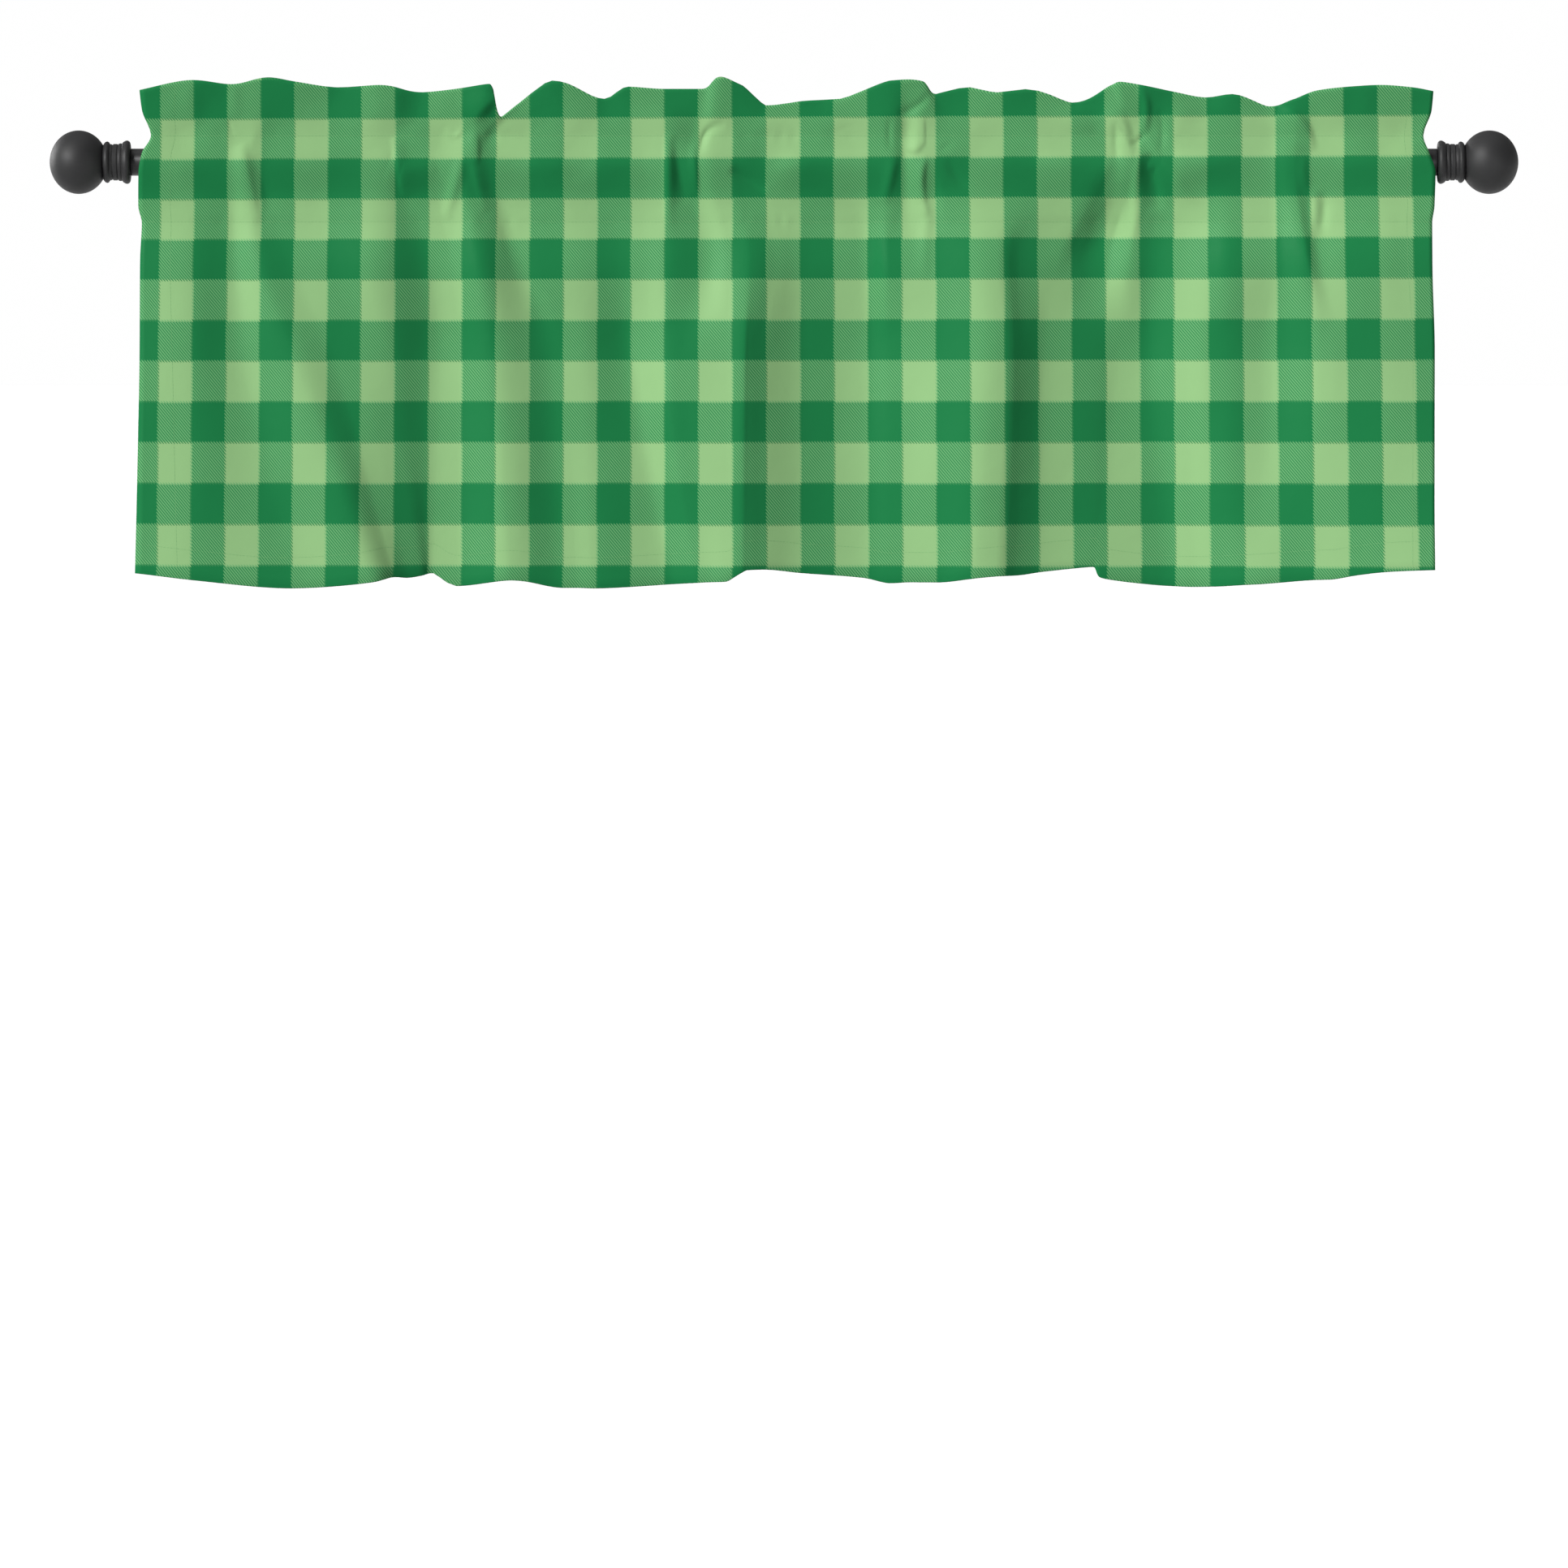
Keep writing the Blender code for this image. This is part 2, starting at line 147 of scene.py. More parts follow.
# Its rows: the height where the first starts at the left edge and its climb to the right edge, the
# height of one at the left edge and what the right edge adds to it, and how they grow downwards
ROW_START = 38.8 * MM
ROW_CLIMB = 3.9 * MM
ROW_HEIGHT = 36.66 * MM
ROW_SPREAD = 0.5 * MM
ROW_GROWTH = 0.058 * MM

# In a check: its threads and its slanting lines, the lines' share of the colour and its swing, and
# how far they run on past the edges
THREADS_PER_CHECK = 48
TWILL_LINES = 12
LINE_SHARE = 0.42
LINE_SWING = 0.38
TOOTH = 0.035

# The print's colours, the wrong side's and how far the print fades to it, and how much cloth shines
LIGHT_GREEN = (0.219, 0.396, 0.169)
LINE_GREEN = (0.160, 0.397, 0.165)
DARK_GREEN = (0.0085, 0.151, 0.045)
WRONG_SIDE = (0.58, 0.72, 0.52)
WRONG_SIDE_FADE = 0.54
SPECULAR = 0.05

# Stitches: the first of a run starts at this part of a pitch, and each is a grain with these rings:
# (part of its length, girth and rise in thread radii)
STITCH_PITCH = 3.2 * MM
STITCH_LENGTH = 2.5 * MM
FIRST_STITCH = 0.15
THREAD_RADIUS = 0.11 * MM
THREAD_SIDES = 5
GRAIN = ((0.0, 0.35, -0.25), (0.2, 0.9, 0.55), (0.5, 1.0, 0.8), (0.8, 0.9, 0.55), (1.0, 0.35, -0.25))
THREAD_DARK = (0.10, 0.30, 0.11)
THREAD_LIGHT = (0.16, 0.37, 0.14)

# Floor, the light from all round, and the white that is seen behind the object
FLOOR_HEIGHT = -2.0
FLOOR_HALF = 300.0
FLOOR_WHITE = 0.93
FLOOR_CLOUD = 0.01
WORLD_LIGHT = 0.29
SEEN_WHITE = 0.998

# Lights: the strength of each, where it stands to shine towards the origin, and its spread or size
KEY_STRENGTH = 4.6
KEY_FROM = (-0.674, -0.618, 0.407)
KEY_SPREAD = math.radians(18)
TOP_STRENGTH = 0.5
TOP_FROM = (0.0, 0.0, 3.0)
TOP_SPREAD = math.radians(60)
BEHIND_STRENGTH = 1.8
BEHIND_FROM = (-0.75, 0.62, 0.2)
BEHIND_SPREAD = math.radians(25)
FILL_POWER = 6.0
FILL_FROM = (1.3, -1.7, 0.0)
FILL_SIZE = 1.0

# Camera: how far in front it stands and how high, the width that it sees there, and the height that
# it is aimed at
SENSOR = 36.0
FARTHEST_SEEN = 1000.0
CAMERA_DISTANCE = 8.0
CAMERA_HEIGHT = -0.158
FRAME_WIDTH = 1.449
FRAME_CENTRE = -0.574

# Collar between rod and ball: (distance from the rod's end, radius) in millimetres, rod side first
COLLAR = (
    (0.0, 13.6),
    (0.3, 17.6),
    (1.4, 19.3),
    (3.2, 20.0),
    (5.6, 19.2),
    (7.2, 18.0),
    (7.9, 17.0),
    (8.8, 17.4),
    (10.8, 17.0),
    (11.5, 16.1),
    (12.4, 16.8),
    (15.6, 16.8),
    (16.5, 15.9),
    (17.4, 16.5),
    (18.8, 16.7),
    (19.8, 18.3),
    (21.4, 19.1),
    (23.0, 18.6),
    (24.6, 16.9),
    (25.2, 15.4),
)

# The cloth's fold lines, left to right, each running from the heading's free edge to the hem.
# Where the line runs at the free edge, the rod, the skirt's upper part, half way down and the hem,
# how far the fold takes the cloth back (+) or forward (-) at each of them, and the heights of the
# free edge and of the hem. Millimetres.
FOLDS = (
    # name                 places: top, rod, upper, middle, hem    depths: the same five        heights
    ("left side",          -596, -596, -596, -596, -596,   0.0,   0.0,  -1.0,  -3.0,   1.0,  65.0, -378.0),
    ("first crest",        -544, -551, -551, -548, -538,  -3.5,  -1.0,  -3.5,  -7.0,  -5.0,  74.0, -385.0),
    ("first dip",          -508, -513, -509, -501, -456,  -1.0,  -0.5,   2.0,   0.5,  -4.0,  70.3, -391.8),
    ("slanting fold",      -474, -495, -483, -452, -380,  -2.5,  -2.5,  -6.0, -11.0, -15.5,  76.5, -386.0),
    ("its foot",           -448, -476, -452, -416, -359,  -1.5,  -1.0,  -2.5,  -4.0,  -4.0,  72.5, -381.4),
    ("its far side",       -410, -430, -418, -392, -348,   3.0,  -0.5,  -3.0,  -3.0,   2.0,  67.5, -382.2),
    ("shoulder",           -372, -374, -378, -367, -336,  -2.0,  -2.0,  -8.5,  -2.0,   6.0,  69.5, -380.6),
    ("second dip",         -332, -347, -326, -317, -324,   3.5,   0.0,   3.5,   9.0,  10.5,  63.0, -378.2),
    ("lifted corner",      -305, -325, -309, -301, -303,  -1.0,   0.0,   1.5,   7.0,   9.5,  65.5, -390.0),
    ("gathered fold",      -271, -293, -281, -267, -252,  -5.0,  -4.0,  -8.5,  -4.0,  -6.0,  70.4, -384.4),
    ("notch",              -260, -263, -243, -214, -203,   2.0,   0.0,   3.0,   6.5,   2.0,  40.6, -391.5),
    ("beside the notch",   -243, -236, -226, -201, -191,   3.5,   0.0,   1.0,   6.0,   2.5,  53.5, -391.5),
    ("second crest",       -213, -203, -196, -186, -175,  -3.0,  -1.0,   0.0,   5.5,   1.0,  73.5, -392.0),
    ("fourth dip",         -165, -158, -152, -144, -108,   3.5,   0.0,   3.0,  12.0,   8.5,  57.0, -388.6),
    ("step up",            -143, -132, -129, -125,  -93,  -1.0,  -1.0,   0.5,   5.0,   4.5,  68.0, -387.6),
    ("pinched fold",       -110, -108, -105, -106,  -80,   1.0,  -3.5,  -4.0,  -4.0,  -1.0,  66.0, -386.8),
    ("pinch",               -76,  -88,  -74,  -90,  -70,   1.5,  -0.5,   0.5,  -6.5,  -4.0,  66.0, -386.2),
    ("sharp fold",          -58,  -66,  -50,  -54,  -54,  -4.5,  -3.0,  -5.5, -11.5, -10.0,  77.0, -385.5),
    ("its sharp edge",      -38,  -50,  -33,  -37,  -39,  -1.0,  -2.0,  -7.5, -14.0, -12.5,  69.0, -377.2),
    ("behind the edge",     -17,  -40,  -25,  -33,  -34,   3.5,  -1.0,  -6.0, -12.4, -11.3,  51.0, -374.8),
    ("beside the edge",       0,  -18,   -7,  -20,  -20,   3.5,   0.0,  -0.8,  -6.8,  -6.5,  52.5, -374.4),
    ("hollow",               18,    8,   15,   22,   16,   3.0,   0.0,   4.0,   8.5,   4.5,  55.0, -377.9),
    ("end of the hollow",    52,   60,   74,   76,   74,   2.0,  -1.0,   8.5,  14.5,  12.0,  57.0, -382.6),
    ("twin fold, left",      98,   95,   96,   98,   98,  -4.5,  -3.5,  -3.0,   8.0,   9.5,  73.5, -387.4),
    ("twin dip",            114,  111,  113,  119,  117,  -4.5,   0.0,  -3.5,   2.0,   7.0,  74.5, -386.5),
    ("twin fold, right",    127,  124,  133,  144,  140,  -3.5,  -3.5,  -5.0,  -5.0,   2.5,  73.0, -386.5),
    ("broad fold",          140,  176,  182,  191,  181,   2.0,  -2.0, -13.0, -15.5,  -9.0,  61.4, -382.0),
    ("its round edge",      171,  212,  200,  206,  199,   3.5,  -0.5, -11.0, -14.0,  -8.0,  67.6, -380.5),
    ("its small dip",       196,  232,  208,  212,  206,   0.5,   0.0,  -7.0, -11.0,  -5.0,  62.8, -380.3),
    ("its steep side",      222,  252,  216,  219,  215,  -1.5,   0.0,  -2.5,  -6.5,   0.0,  65.7, -380.0),
    ("deep dip",            265,  298,  256,  241,  238,   3.5,   0.0,   8.0,   4.5,   8.0,  53.5, -377.0),
    ("crossing fold",       301,  319,  299,  290,  286,   2.0,  -3.5,  16.0,  15.0,  14.0,  69.5, -372.5),
    ("front corner",        309,  332,  320,  312,  292,  -4.0,   0.0,   8.5,  19.0,  15.0,  72.4, -382.0),
    ("long dip",            328,  344,  338,  333,  352,  -5.0,   0.0,  10.0,  20.5,  20.5,  69.5, -390.0),
    ("tall fold",           360,  368,  366,  368,  378,  -0.5,  -3.0,   4.5,   9.5,  17.0,  63.0, -391.0),
    ("its saddle",          388,  388,  390,  390,  400,   3.0,  -2.0,  -3.5,   1.0,   9.5,  58.2, -390.5),
    ("its side",            412,  408,  411,  412,  422,  -1.5,  -1.0,  -9.5,  -1.5,   2.0,  61.2, -389.0),
    ("soft dip",            446,  445,  452,  443,  440,   3.5,   0.0,  -6.0,   1.0,  -2.0,  50.0, -388.0),
    ("last fold",           470,  469,  480,  496,  490,   0.0,  -3.0, -13.5, -12.0,  -7.5,  57.0, -384.0),
    ("last pinch",          490,  484,  494,  511,  504,  -1.5,  -0.5,  -9.0, -12.8, -10.0,  64.5, -383.5),
    ("side rise",           520,  512,  518,  530,  528,  -3.0,  -1.5, -11.0, -12.5, -14.0,  68.0, -379.5),
    ("last crest",          548,  546,  546,  553,  553,  -3.5,  -0.5, -11.0, -11.5, -18.0,  69.5, -376.5),
    ("side dip",            578,  576,  577,  581,  581,  -1.5,   0.0,  -7.5,  -8.5, -20.5,  67.5, -375.0),
    ("right side",          600,  600,  600,  600,  600,   0.0,   0.0,  -5.0,  -6.0, -21.0,  64.0, -374.5),
)

# How far the side edges pull in towards the middle at each height. Millimetres.
SIDE_PULL = (
    # height  left  right
    (-385.0, -3.2, 0.4),
    (-316.0, -1.0, 1.0),
    (-250.0, 0.8, 0.9),
    (-180.0, 2.4, 0.8),
    (-90.0, 3.0, 3.2),
    (-56.0, 4.4, 3.1),
    (-40.0, 1.2, 0.9),
    (-10.0, 1.8, 0.2),
    (8.0, 5.0, 6.0),
    (24.0, 13.6, 11.7),
    (52.0, 5.5, 4.5),
    (80.0, 3.0, 2.7),
)

# The points along a crease's line, the power by which it tapers towards both ends, and how many of
# its half widths it is worked out over
CREASE_STEPS = 13
CREASE_TAPER = 0.7
CREASE_EXTENT = 3

# Creases that the gathers press into the cloth, as ridges (+) and troughs (-): where each starts,
# passes and ends, its half width on its left and on its right as it runs down, and its height.
# A crease that runs level has its left side below it. Millimetres.
CREASES = (
    # name                              start x, z     middle x, z        end x, z   left  right height
    ("first pinch",                 -500.0,   16.0, -494.0,  -12.0, -485.0,  -56.0,   9.0,   5.0,   2.2),
    ("above the first pinch",       -511.0,   38.0, -509.0,   32.0, -506.0,   25.0,   2.0,   2.0,  -0.6),
    ("second pinch",                -358.0,   24.0, -354.0,   -2.0, -348.0,  -32.0,   4.0,   9.0,   2.2),
    ("notch, rolled edge",          -265.0,   62.0, -276.0,   51.0, -288.0,   38.0,  18.0,   6.0,   3.5),
    ("notch, lower edge",           -257.0,   46.0, -268.0,   35.0, -281.0,   20.0,   3.5,   6.0,   0.5),
    ("below the notch",             -284.0,   28.0, -283.0,   12.0, -283.0,   -2.0,   7.0,   3.0,   2.0),
    ("gathered fold",               -286.0,    4.0, -281.0,  -18.0, -274.0,  -46.0,   5.0,   8.0,   2.0),
    ("gathered fold, lower",        -270.0,  -26.0, -266.0,  -60.0, -252.0, -110.0,   9.0,   6.0,   1.2),
    ("slanted crease",              -296.0,    4.0, -303.0,  -22.0, -312.0,  -54.0,   5.0,   5.0,   2.0),
    ("small hook",                  -311.0,   31.0, -303.0,   23.0, -296.0,   31.0,   1.5,   1.5,   0.8),
    ("pinch",                       -106.0,   28.0, -106.5,  -12.0, -107.0,  -64.0,   3.4,   5.0,   2.5),
    ("pinch, hollow",               -102.0,   22.0,  -97.0,   -8.0,  -91.0,  -40.0,   6.0,   4.5,  -2.0),
    ("beside the pinch",             -84.0,   16.0,  -82.0,   -8.0,  -80.5,  -32.0,   7.0,   2.8,   2.1),
    ("curled corner",                -54.0,   34.5,  -71.0,   28.0,  -76.0,    8.0,   2.6,   4.0,  -1.9),
    ("hollow hook",                  -50.0,   -7.0,  -36.0,  -15.0,  -17.0,  -27.0,   4.0,   7.0,  -2.2),
    ("under the flap",               134.0,   62.0,  121.0,   50.0,  104.0,   43.0,   4.0,   3.0,  -1.8),
    ("curl, far side",                97.0,   42.0,   96.5,   26.0,   97.5,   10.0,   2.0,   3.0,  -1.3),
    ("curl",                         108.0,   20.0,  119.0,   10.5,  129.0,   20.0,   2.0,   7.0,   1.5),
    ("curl, near side",              127.5,   42.0,  128.0,   28.0,  128.0,   14.0,   6.0,   1.8,   1.1),
    ("twin fold, stripe",            102.5,    8.0,   98.0,  -14.0,   92.0,  -38.0,   5.0,   4.0,   1.6),
    ("twin fold, edge",              131.0,    5.0,  126.5,  -17.0,  131.5,  -50.0,   5.0,   2.8,   2.7),
    ("twin fold, lower edge",        130.0,  -38.0,  131.0,  -62.0,  127.0, -108.0,   6.0,   6.0,   1.4),
    ("twin fold, hollow",            136.0,    0.0,  139.0,  -28.0,  141.0,  -66.0,   6.0,   5.0,  -1.3),
    ("beside the curl",              151.0,    4.0,  157.0,  -11.0,  169.0,  -23.0,   4.0,   5.0,  -1.2),
    ("short slant",                  143.0,    9.0,  149.0,   14.0,  156.0,   18.0,   2.0,   2.0,  -0.7),
    ("heading edge",                 326.0,   68.0,  333.0,   50.0,  330.0,   25.0,   3.5,   4.0,   2.6),
    ("beside the heading edge",      344.0,   48.0,  348.5,   30.0,  346.0,    6.0,   4.0,   3.0,  -1.4),
    ("knot",                         331.0,   25.5,  326.0,   19.0,  317.0,   15.0,   1.8,   1.8,  -1.9),
    ("over the knot",                309.0,   32.0,  315.0,   25.0,  324.0,   21.0,   1.6,   1.6,  -1.3),
    ("left of the knot",             306.0,   38.0,  305.5,   20.0,  308.0,    2.0,   4.0,   4.0,  -1.8),
    ("crossing fold, ridge",         301.0,    8.0,  274.0,  -45.0,  246.0, -106.0,  12.0,   6.0,   1.7),
    ("crossing fold, hollow",        317.0,    2.0,  297.0,  -46.0,  271.0, -102.0,  11.0,  13.0,  -2.4),
    ("wedge, edge",                  330.0,   15.0,  325.0,  -16.0,  324.0,  -70.0,   4.2,   8.0,   2.8),
    ("wedge, lower edge",            323.0,  -50.0,  324.0,  -80.0,  327.0, -116.0,   6.0,   6.0,   0.4),
    ("wedge, hollow",                334.0,    8.0,  340.0,  -14.0,  346.0,  -44.0,   9.0,   5.0,  -2.7),
    ("right of the wedge",           336.0,   26.0,  352.0,   -4.0,  386.0,  -50.0,   5.0,   7.0,   1.5),
    ("round edge",                   455.0,   50.0,  478.0,   35.0,  486.0,   10.0,   9.0,   3.0,   3.0),
    ("last pinch",                   480.0,    8.0,  478.5,  -12.0,  485.5,  -35.0,   5.0,   4.0,   1.4),
    ("pleat",                        488.0,  -22.0,  489.0,  -44.0,  487.0,  -70.0,   4.0,   4.0,   1.7),
    ("pleat, far side",              498.0,  -26.0,  497.5,  -46.0,  495.0,  -68.0,   4.0,   4.0,  -1.4),
    ("under the pleat",              484.5,  -66.0,  480.0,  -87.0,  485.0, -108.0,   6.0,   4.0,   0.8),
    ("under the rod, second pinch", -364.0,   -2.0, -343.0,   -5.0, -322.0,    0.0,  16.0,   9.0,   1.8),
    ("under the rod, second crest", -240.0,    0.0, -216.0,   -5.0, -196.0,    1.0,  16.0,   9.0,   1.8),
    ("under the rod, fourth dip",   -176.0,    2.0, -155.0,   -4.0, -130.0,    0.0,  18.0,   9.0,   1.8),
    ("under the rod, hollow",        -14.0,  -14.0,   20.0,   -3.0,   84.0,    0.0,  18.0,   9.0,   1.6),
    ("under the rod, deep dip",      196.0,    0.0,  235.0,   -4.0,  286.0,    0.0,  18.0,   9.0,   1.3),
    ("under the rod, tall fold",     350.0,    6.0,  385.0,   -3.0,  430.0,    2.0,  18.0,   9.0,   1.8),
    ("under the rod, last crest",    510.0,    0.0,  534.0,   -4.0,  556.0,    0.0,  16.0,   9.0,   1.6),
    ("under the rod, beside it",    -352.0,   -8.0, -338.0,   -9.0, -318.0,   -5.0,  14.0,   8.0,   1.4),
    ("heading, first crest",        -547.0,   72.0, -545.0,   56.0, -541.0,   34.0,   9.0,   8.0,   1.3),
    ("heading, first dip",          -507.0,   72.0, -505.0,   58.0, -503.0,   40.0,   6.0,   6.0,   0.9),
    ("heading, second dip",         -356.0,   70.0, -354.0,   54.0, -352.0,   34.0,   8.0,  16.0,   1.5),
    ("heading, hollow",               44.0,   56.0,   46.0,   46.0,   50.0,   30.0,   8.0,  16.0,   1.2),
    ("heading, deep dip",            268.0,   52.0,  270.0,   40.0,  276.0,   26.0,  12.0,  12.0,   1.2),
    ("heading, last crest",          536.0,   72.0,  534.0,   54.0,  530.0,   32.0,   8.0,  10.0,   1.2),
    ("beside the first pinch",      -489.0,    4.0, -479.0,  -18.0, -474.0,  -48.0,   4.0,  12.0,  -0.8),
    ("notch, hollow",               -256.0,   44.0, -266.0,   32.0, -276.0,   13.0,   6.0,   7.0,  -1.2),
    ("inside the round edge",        452.0,   44.0,  462.0,   32.0,  466.0,   16.0,   9.0,   6.0,  -0.7),
    ("heading, notch side",         -236.0,   46.0, -232.0,   36.0, -228.0,   26.0,   5.0,   9.0,  -0.9),
    ("heading, tall fold",           372.0,   46.0,  386.0,   38.0,  420.0,   35.0,   9.0,   8.0,  -0.8),
)

# Waves that leave no stretch of cloth quite smooth: the size of each, the lengths to the right and
# up in which it runs on by one radian, and a wave that bends it, with its own two lengths. A length
# below zero runs the other way. Millimetres.
NEVER = math.inf
SLOW_WAVES = (
    # size  right   up      bend  right  up
    (1.0,   21.0,   55.0,   1.7,  NEVER, 90.0),
    (0.7,   12.5,   -38.0,  1.2,  70.0,  NEVER),
    (0.5,   33.0,   17.0,   0.0,  NEVER, NEVER),
)
GATHERED_WAVES = (
    (1.0,   9.0,    14.0,   2.0,  47.0,  30.0),
    (0.8,   15.0,   -11.0,  1.5,  29.0,  NEVER),
)
PUCKERS = (
    (1.0,   2.9,    NEVER,  2.0,  31.0,  NEVER),
    (0.8,   1.9,    NEVER,  1.3,  17.0,  NEVER),
)

# How high they stand: the slow ones all over, the gathered ones to either side of a line above the
# rod, and the puckers in patches beside the seams, which themselves draw in a groove. Millimetres,
# but the patches' start is an angle, and their mean and swing are parts.
SLOW_HEIGHT = 0.22
GATHERED_HEIGHT = 0.42
GATHERED_LINE = 18.0
GATHERED_REACH = 48.0
PUCKER_HEIGHT = 0.14
PUCKER_REACH = 6.5
PATCH_LENGTH = 43.0
PATCH_START = 1.1
PATCH_MEAN = 0.55
PATCH_SWING = 0.45
GROOVE_DEPTH = 0.2
GROOVE_REACH = 4.0


def between(places, values, wanted):
    """Smooth curve through the values that never swings past them, flat at each high and low."""
    places = np.asarray(places, float)
    values = np.asarray(values, float)
    steps = np.diff(places)
    slopes = np.diff(values) / steps
    turns = np.zeros(len(places))
    same_way = slopes[:-1] * slopes[1:] > 0
    before, after = slopes[:-1][same_way], slopes[1:][same_way]
    turns[1:-1][same_way] = 2 * before * after / (before + after)
    turns[0], turns[-1] = slopes[0], slopes[-1]
    cell = np.clip(np.searchsorted(places, wanted) - 1, 0, len(steps) - 1)
    step = steps[cell]
    t = np.clip((wanted - places[cell]) / step, 0.0, 1.0)
    start, end = values[cell], values[cell + 1]
    rise = step * ((1 - t) ** 2 * t * turns[cell] - (1 - t) * t**2 * turns[cell + 1])
    return start * (1 + 2 * t) * (1 - t) ** 2 + end * t**2 * (3 - 2 * t) + rise


def column(table, index):
    return np.array([row[index] for row in table], float) * MM


# --- The hanging shape ---------------------------------------------------------------------------


def fold_lines(height):
    """Where each fold line runs at this height, and how far back the cloth lies there."""
    at_top, at_rod, at_upper, at_middle, at_hem = (column(FOLDS, i) for i in range(1, 6))
    lean, at_axis, upper, middle, hem = (column(FOLDS, i) for i in range(6, 11))
    near_seam = at_rod + (at_top - at_rod) * HEADING_SEAM / HEADING_TOP
    places = zip(at_hem, at_middle, at_upper, at_rod, near_seam, at_top)
    depths = zip(hem, middle, upper, at_axis, at_axis, lean)
    places = [between(KNOTS, line, height) for line in places]
    depths = [between(KNOTS, line, height) for line in depths]
    return np.array(places), np.array(depths)


def line_spacing():
    """A running number for each fold line: its distance along the cloth half way down."""
    places, depths = fold_lines(MIDDLE_HEIGHT)
    return np.concatenate([[0.0], np.cumsum(np.hypot(np.diff(places), np.diff(depths)))])


SPACING = line_spacing()


def side_shift(across, height):
    """The side edges pull in at the seams, which fades within a few fingers' width of each edge."""
    heights = column(SIDE_PULL, 0)
    left = between(heights, column(SIDE_PULL, 1), height)
    right = between(heights, column(SIDE_PULL, 2), height)
    from_left = np.exp(-(across - LEFT_EDGE) / EDGE_REACH)
    from_right = np.exp(-(RIGHT_EDGE - across) / EDGE_REACH)
    return left * from_left - right * from_right


def cloth_row(stations, height, real_height, back=False):
    """A level of the sheet, or of the layer behind it: a point for each station."""
    places, depths = fold_lines(height)
    across = between(SPACING, places, stations)
    forward = between(column(HANG, 0), column(HANG, 2 if back else 1), height)
    depth = between(SPACING, depths, stations) - forward
    if abs(height) < CLEAR_OF_ROD:
        side = 1 if back else -1
        depth = side * np.maximum(side * depth, math.sqrt(CLEAR_OF_ROD**2 - height**2))
    x = across + side_shift(across, height)
    return np.stack([x, depth, np.broadcast_to(real_height, x.shape)], axis=1)


def heading_row(stations, part):
    """A level of the heading, part 0 at its seam and 1 at its free edge."""
    top = between(SPACING, column(FOLDS, 11), stations)
    height = HEADING_SEAM + part * (HEADING_TOP - HEADING_SEAM)
    return cloth_row(stations, height, HEADING_SEAM + part * (top - HEADING_SEAM))


def skirt_row(stations, part):
    """A level of the skirt, part 0 at the sleeve's lower edge and 1 at the hem."""
    hem = between(SPACING, column(FOLDS, 12), stations)
    height = SLEEVE_EDGE + part * (HEM_HEIGHT - SLEEVE_EDGE)
    return cloth_row(stations, height, SLEEVE_EDGE + part * (hem - SLEEVE_EDGE))


def skirt_parts():
    """The skirt's levels, 1 at the hem and 0 at the sleeve, closer together near the sleeve."""
    turned_up = HEM_DEPTH / (SLEEVE_EDGE - HEM_HEIGHT)
    in_hem = np.linspace(1.0, 1.0 - turned_up, TURN_UP_ROWS + 1)
    above = (1.0 - turned_up) * np.linspace(1.0, 0.0, SKIRT_ROWS) ** SKIRT_CROWD
    return [*in_hem, *above[1:]]


def cut_stations():
    """Where the sheet's columns lie: on every fold line, and closest together at the creases."""
    fine, kept = [], []
    for start, end in zip(SPACING, SPACING[1:]):
        strips = max(round((end - start) / STATION), LEAST_STATIONS)
        fine += list(np.linspace(start, end, strips, endpoint=False))
        kept += [k % COARSE == 0 for k in range(strips)]
    fine, kept = np.array(fine + [SPACING[-1]]), np.array(kept + [True])
    narrow_ones = [crease for crease in CREASES if min(crease[7:9]) < NARROW]
    for crease in narrow_ones:
        for x, z in crease_line(crease)[::2]:
            across = between(SPACING, fold_lines(z * MM)[0], fine) / MM
            kept |= np.abs(across - x) < CREASE_REACH
    return fine[kept]


def normals(rows):
    """Unit normals for a grid of levels, lowest first, by stations from left to right."""
    up = np.gradient(rows, axis=0)
    along = np.gradient(rows, axis=1)
    found = np.cross(along, up)
    return found / np.linalg.norm(found, axis=2, keepdims=True)


# --- Creases -------------------------------------------------------------------------------------


def waves(x, z, table):
    """The sum of a table's waves at the points x and z."""
    total = 0.0
    for size, right, up, bend, bend_right, bend_up in table:
        total += size * np.sin(x / right + z / up + bend * np.sin(x / bend_right + z / bend_up))
    return total


def fade(distance, reach):
    """1 on a line, and next to nothing at twice its reach from it."""
    return np.exp(-((distance / reach) ** 2))


def seam_pucker(x, z):
    """The two seams draw the cloth in along a shallow groove with small uneven puckers beside it."""
    patchy = PATCH_MEAN + PATCH_SWING * np.sin(x / PATCH_LENGTH + PATCH_START)
    lift = np.zeros(x.shape)
    for seam in (HEADING_SEAM / MM, SLEEVE_SEAM / MM):
        lift -= GROOVE_DEPTH * fade(z - seam, GROOVE_REACH)
        lift += PUCKER_HEIGHT * waves(x, z, PUCKERS) * patchy * fade(z - seam, PUCKER_REACH)
    return lift


def unevenness(x, z):
    """Very shallow waves all over, and deeper ones where the sleeve gathers the cloth."""
    gathered = GATHERED_HEIGHT * waves(x, z, GATHERED_WAVES) * fade(z - GATHERED_LINE, GATHERED_REACH)
    return SLOW_HEIGHT * waves(x, z, SLOW_WAVES) + gathered


def crease_line(crease):
    """Points along a crease, on a smooth curve through its start, middle and end."""
    start, middle, end = np.array(crease[1:7]).reshape(3, 2)
    pull = 2 * middle - (start + end) / 2
    t = np.linspace(0.0, 1.0, CREASE_STEPS)[:, None]
    return (1 - t) ** 2 * start + 2 * t * (1 - t) * pull + t**2 * end


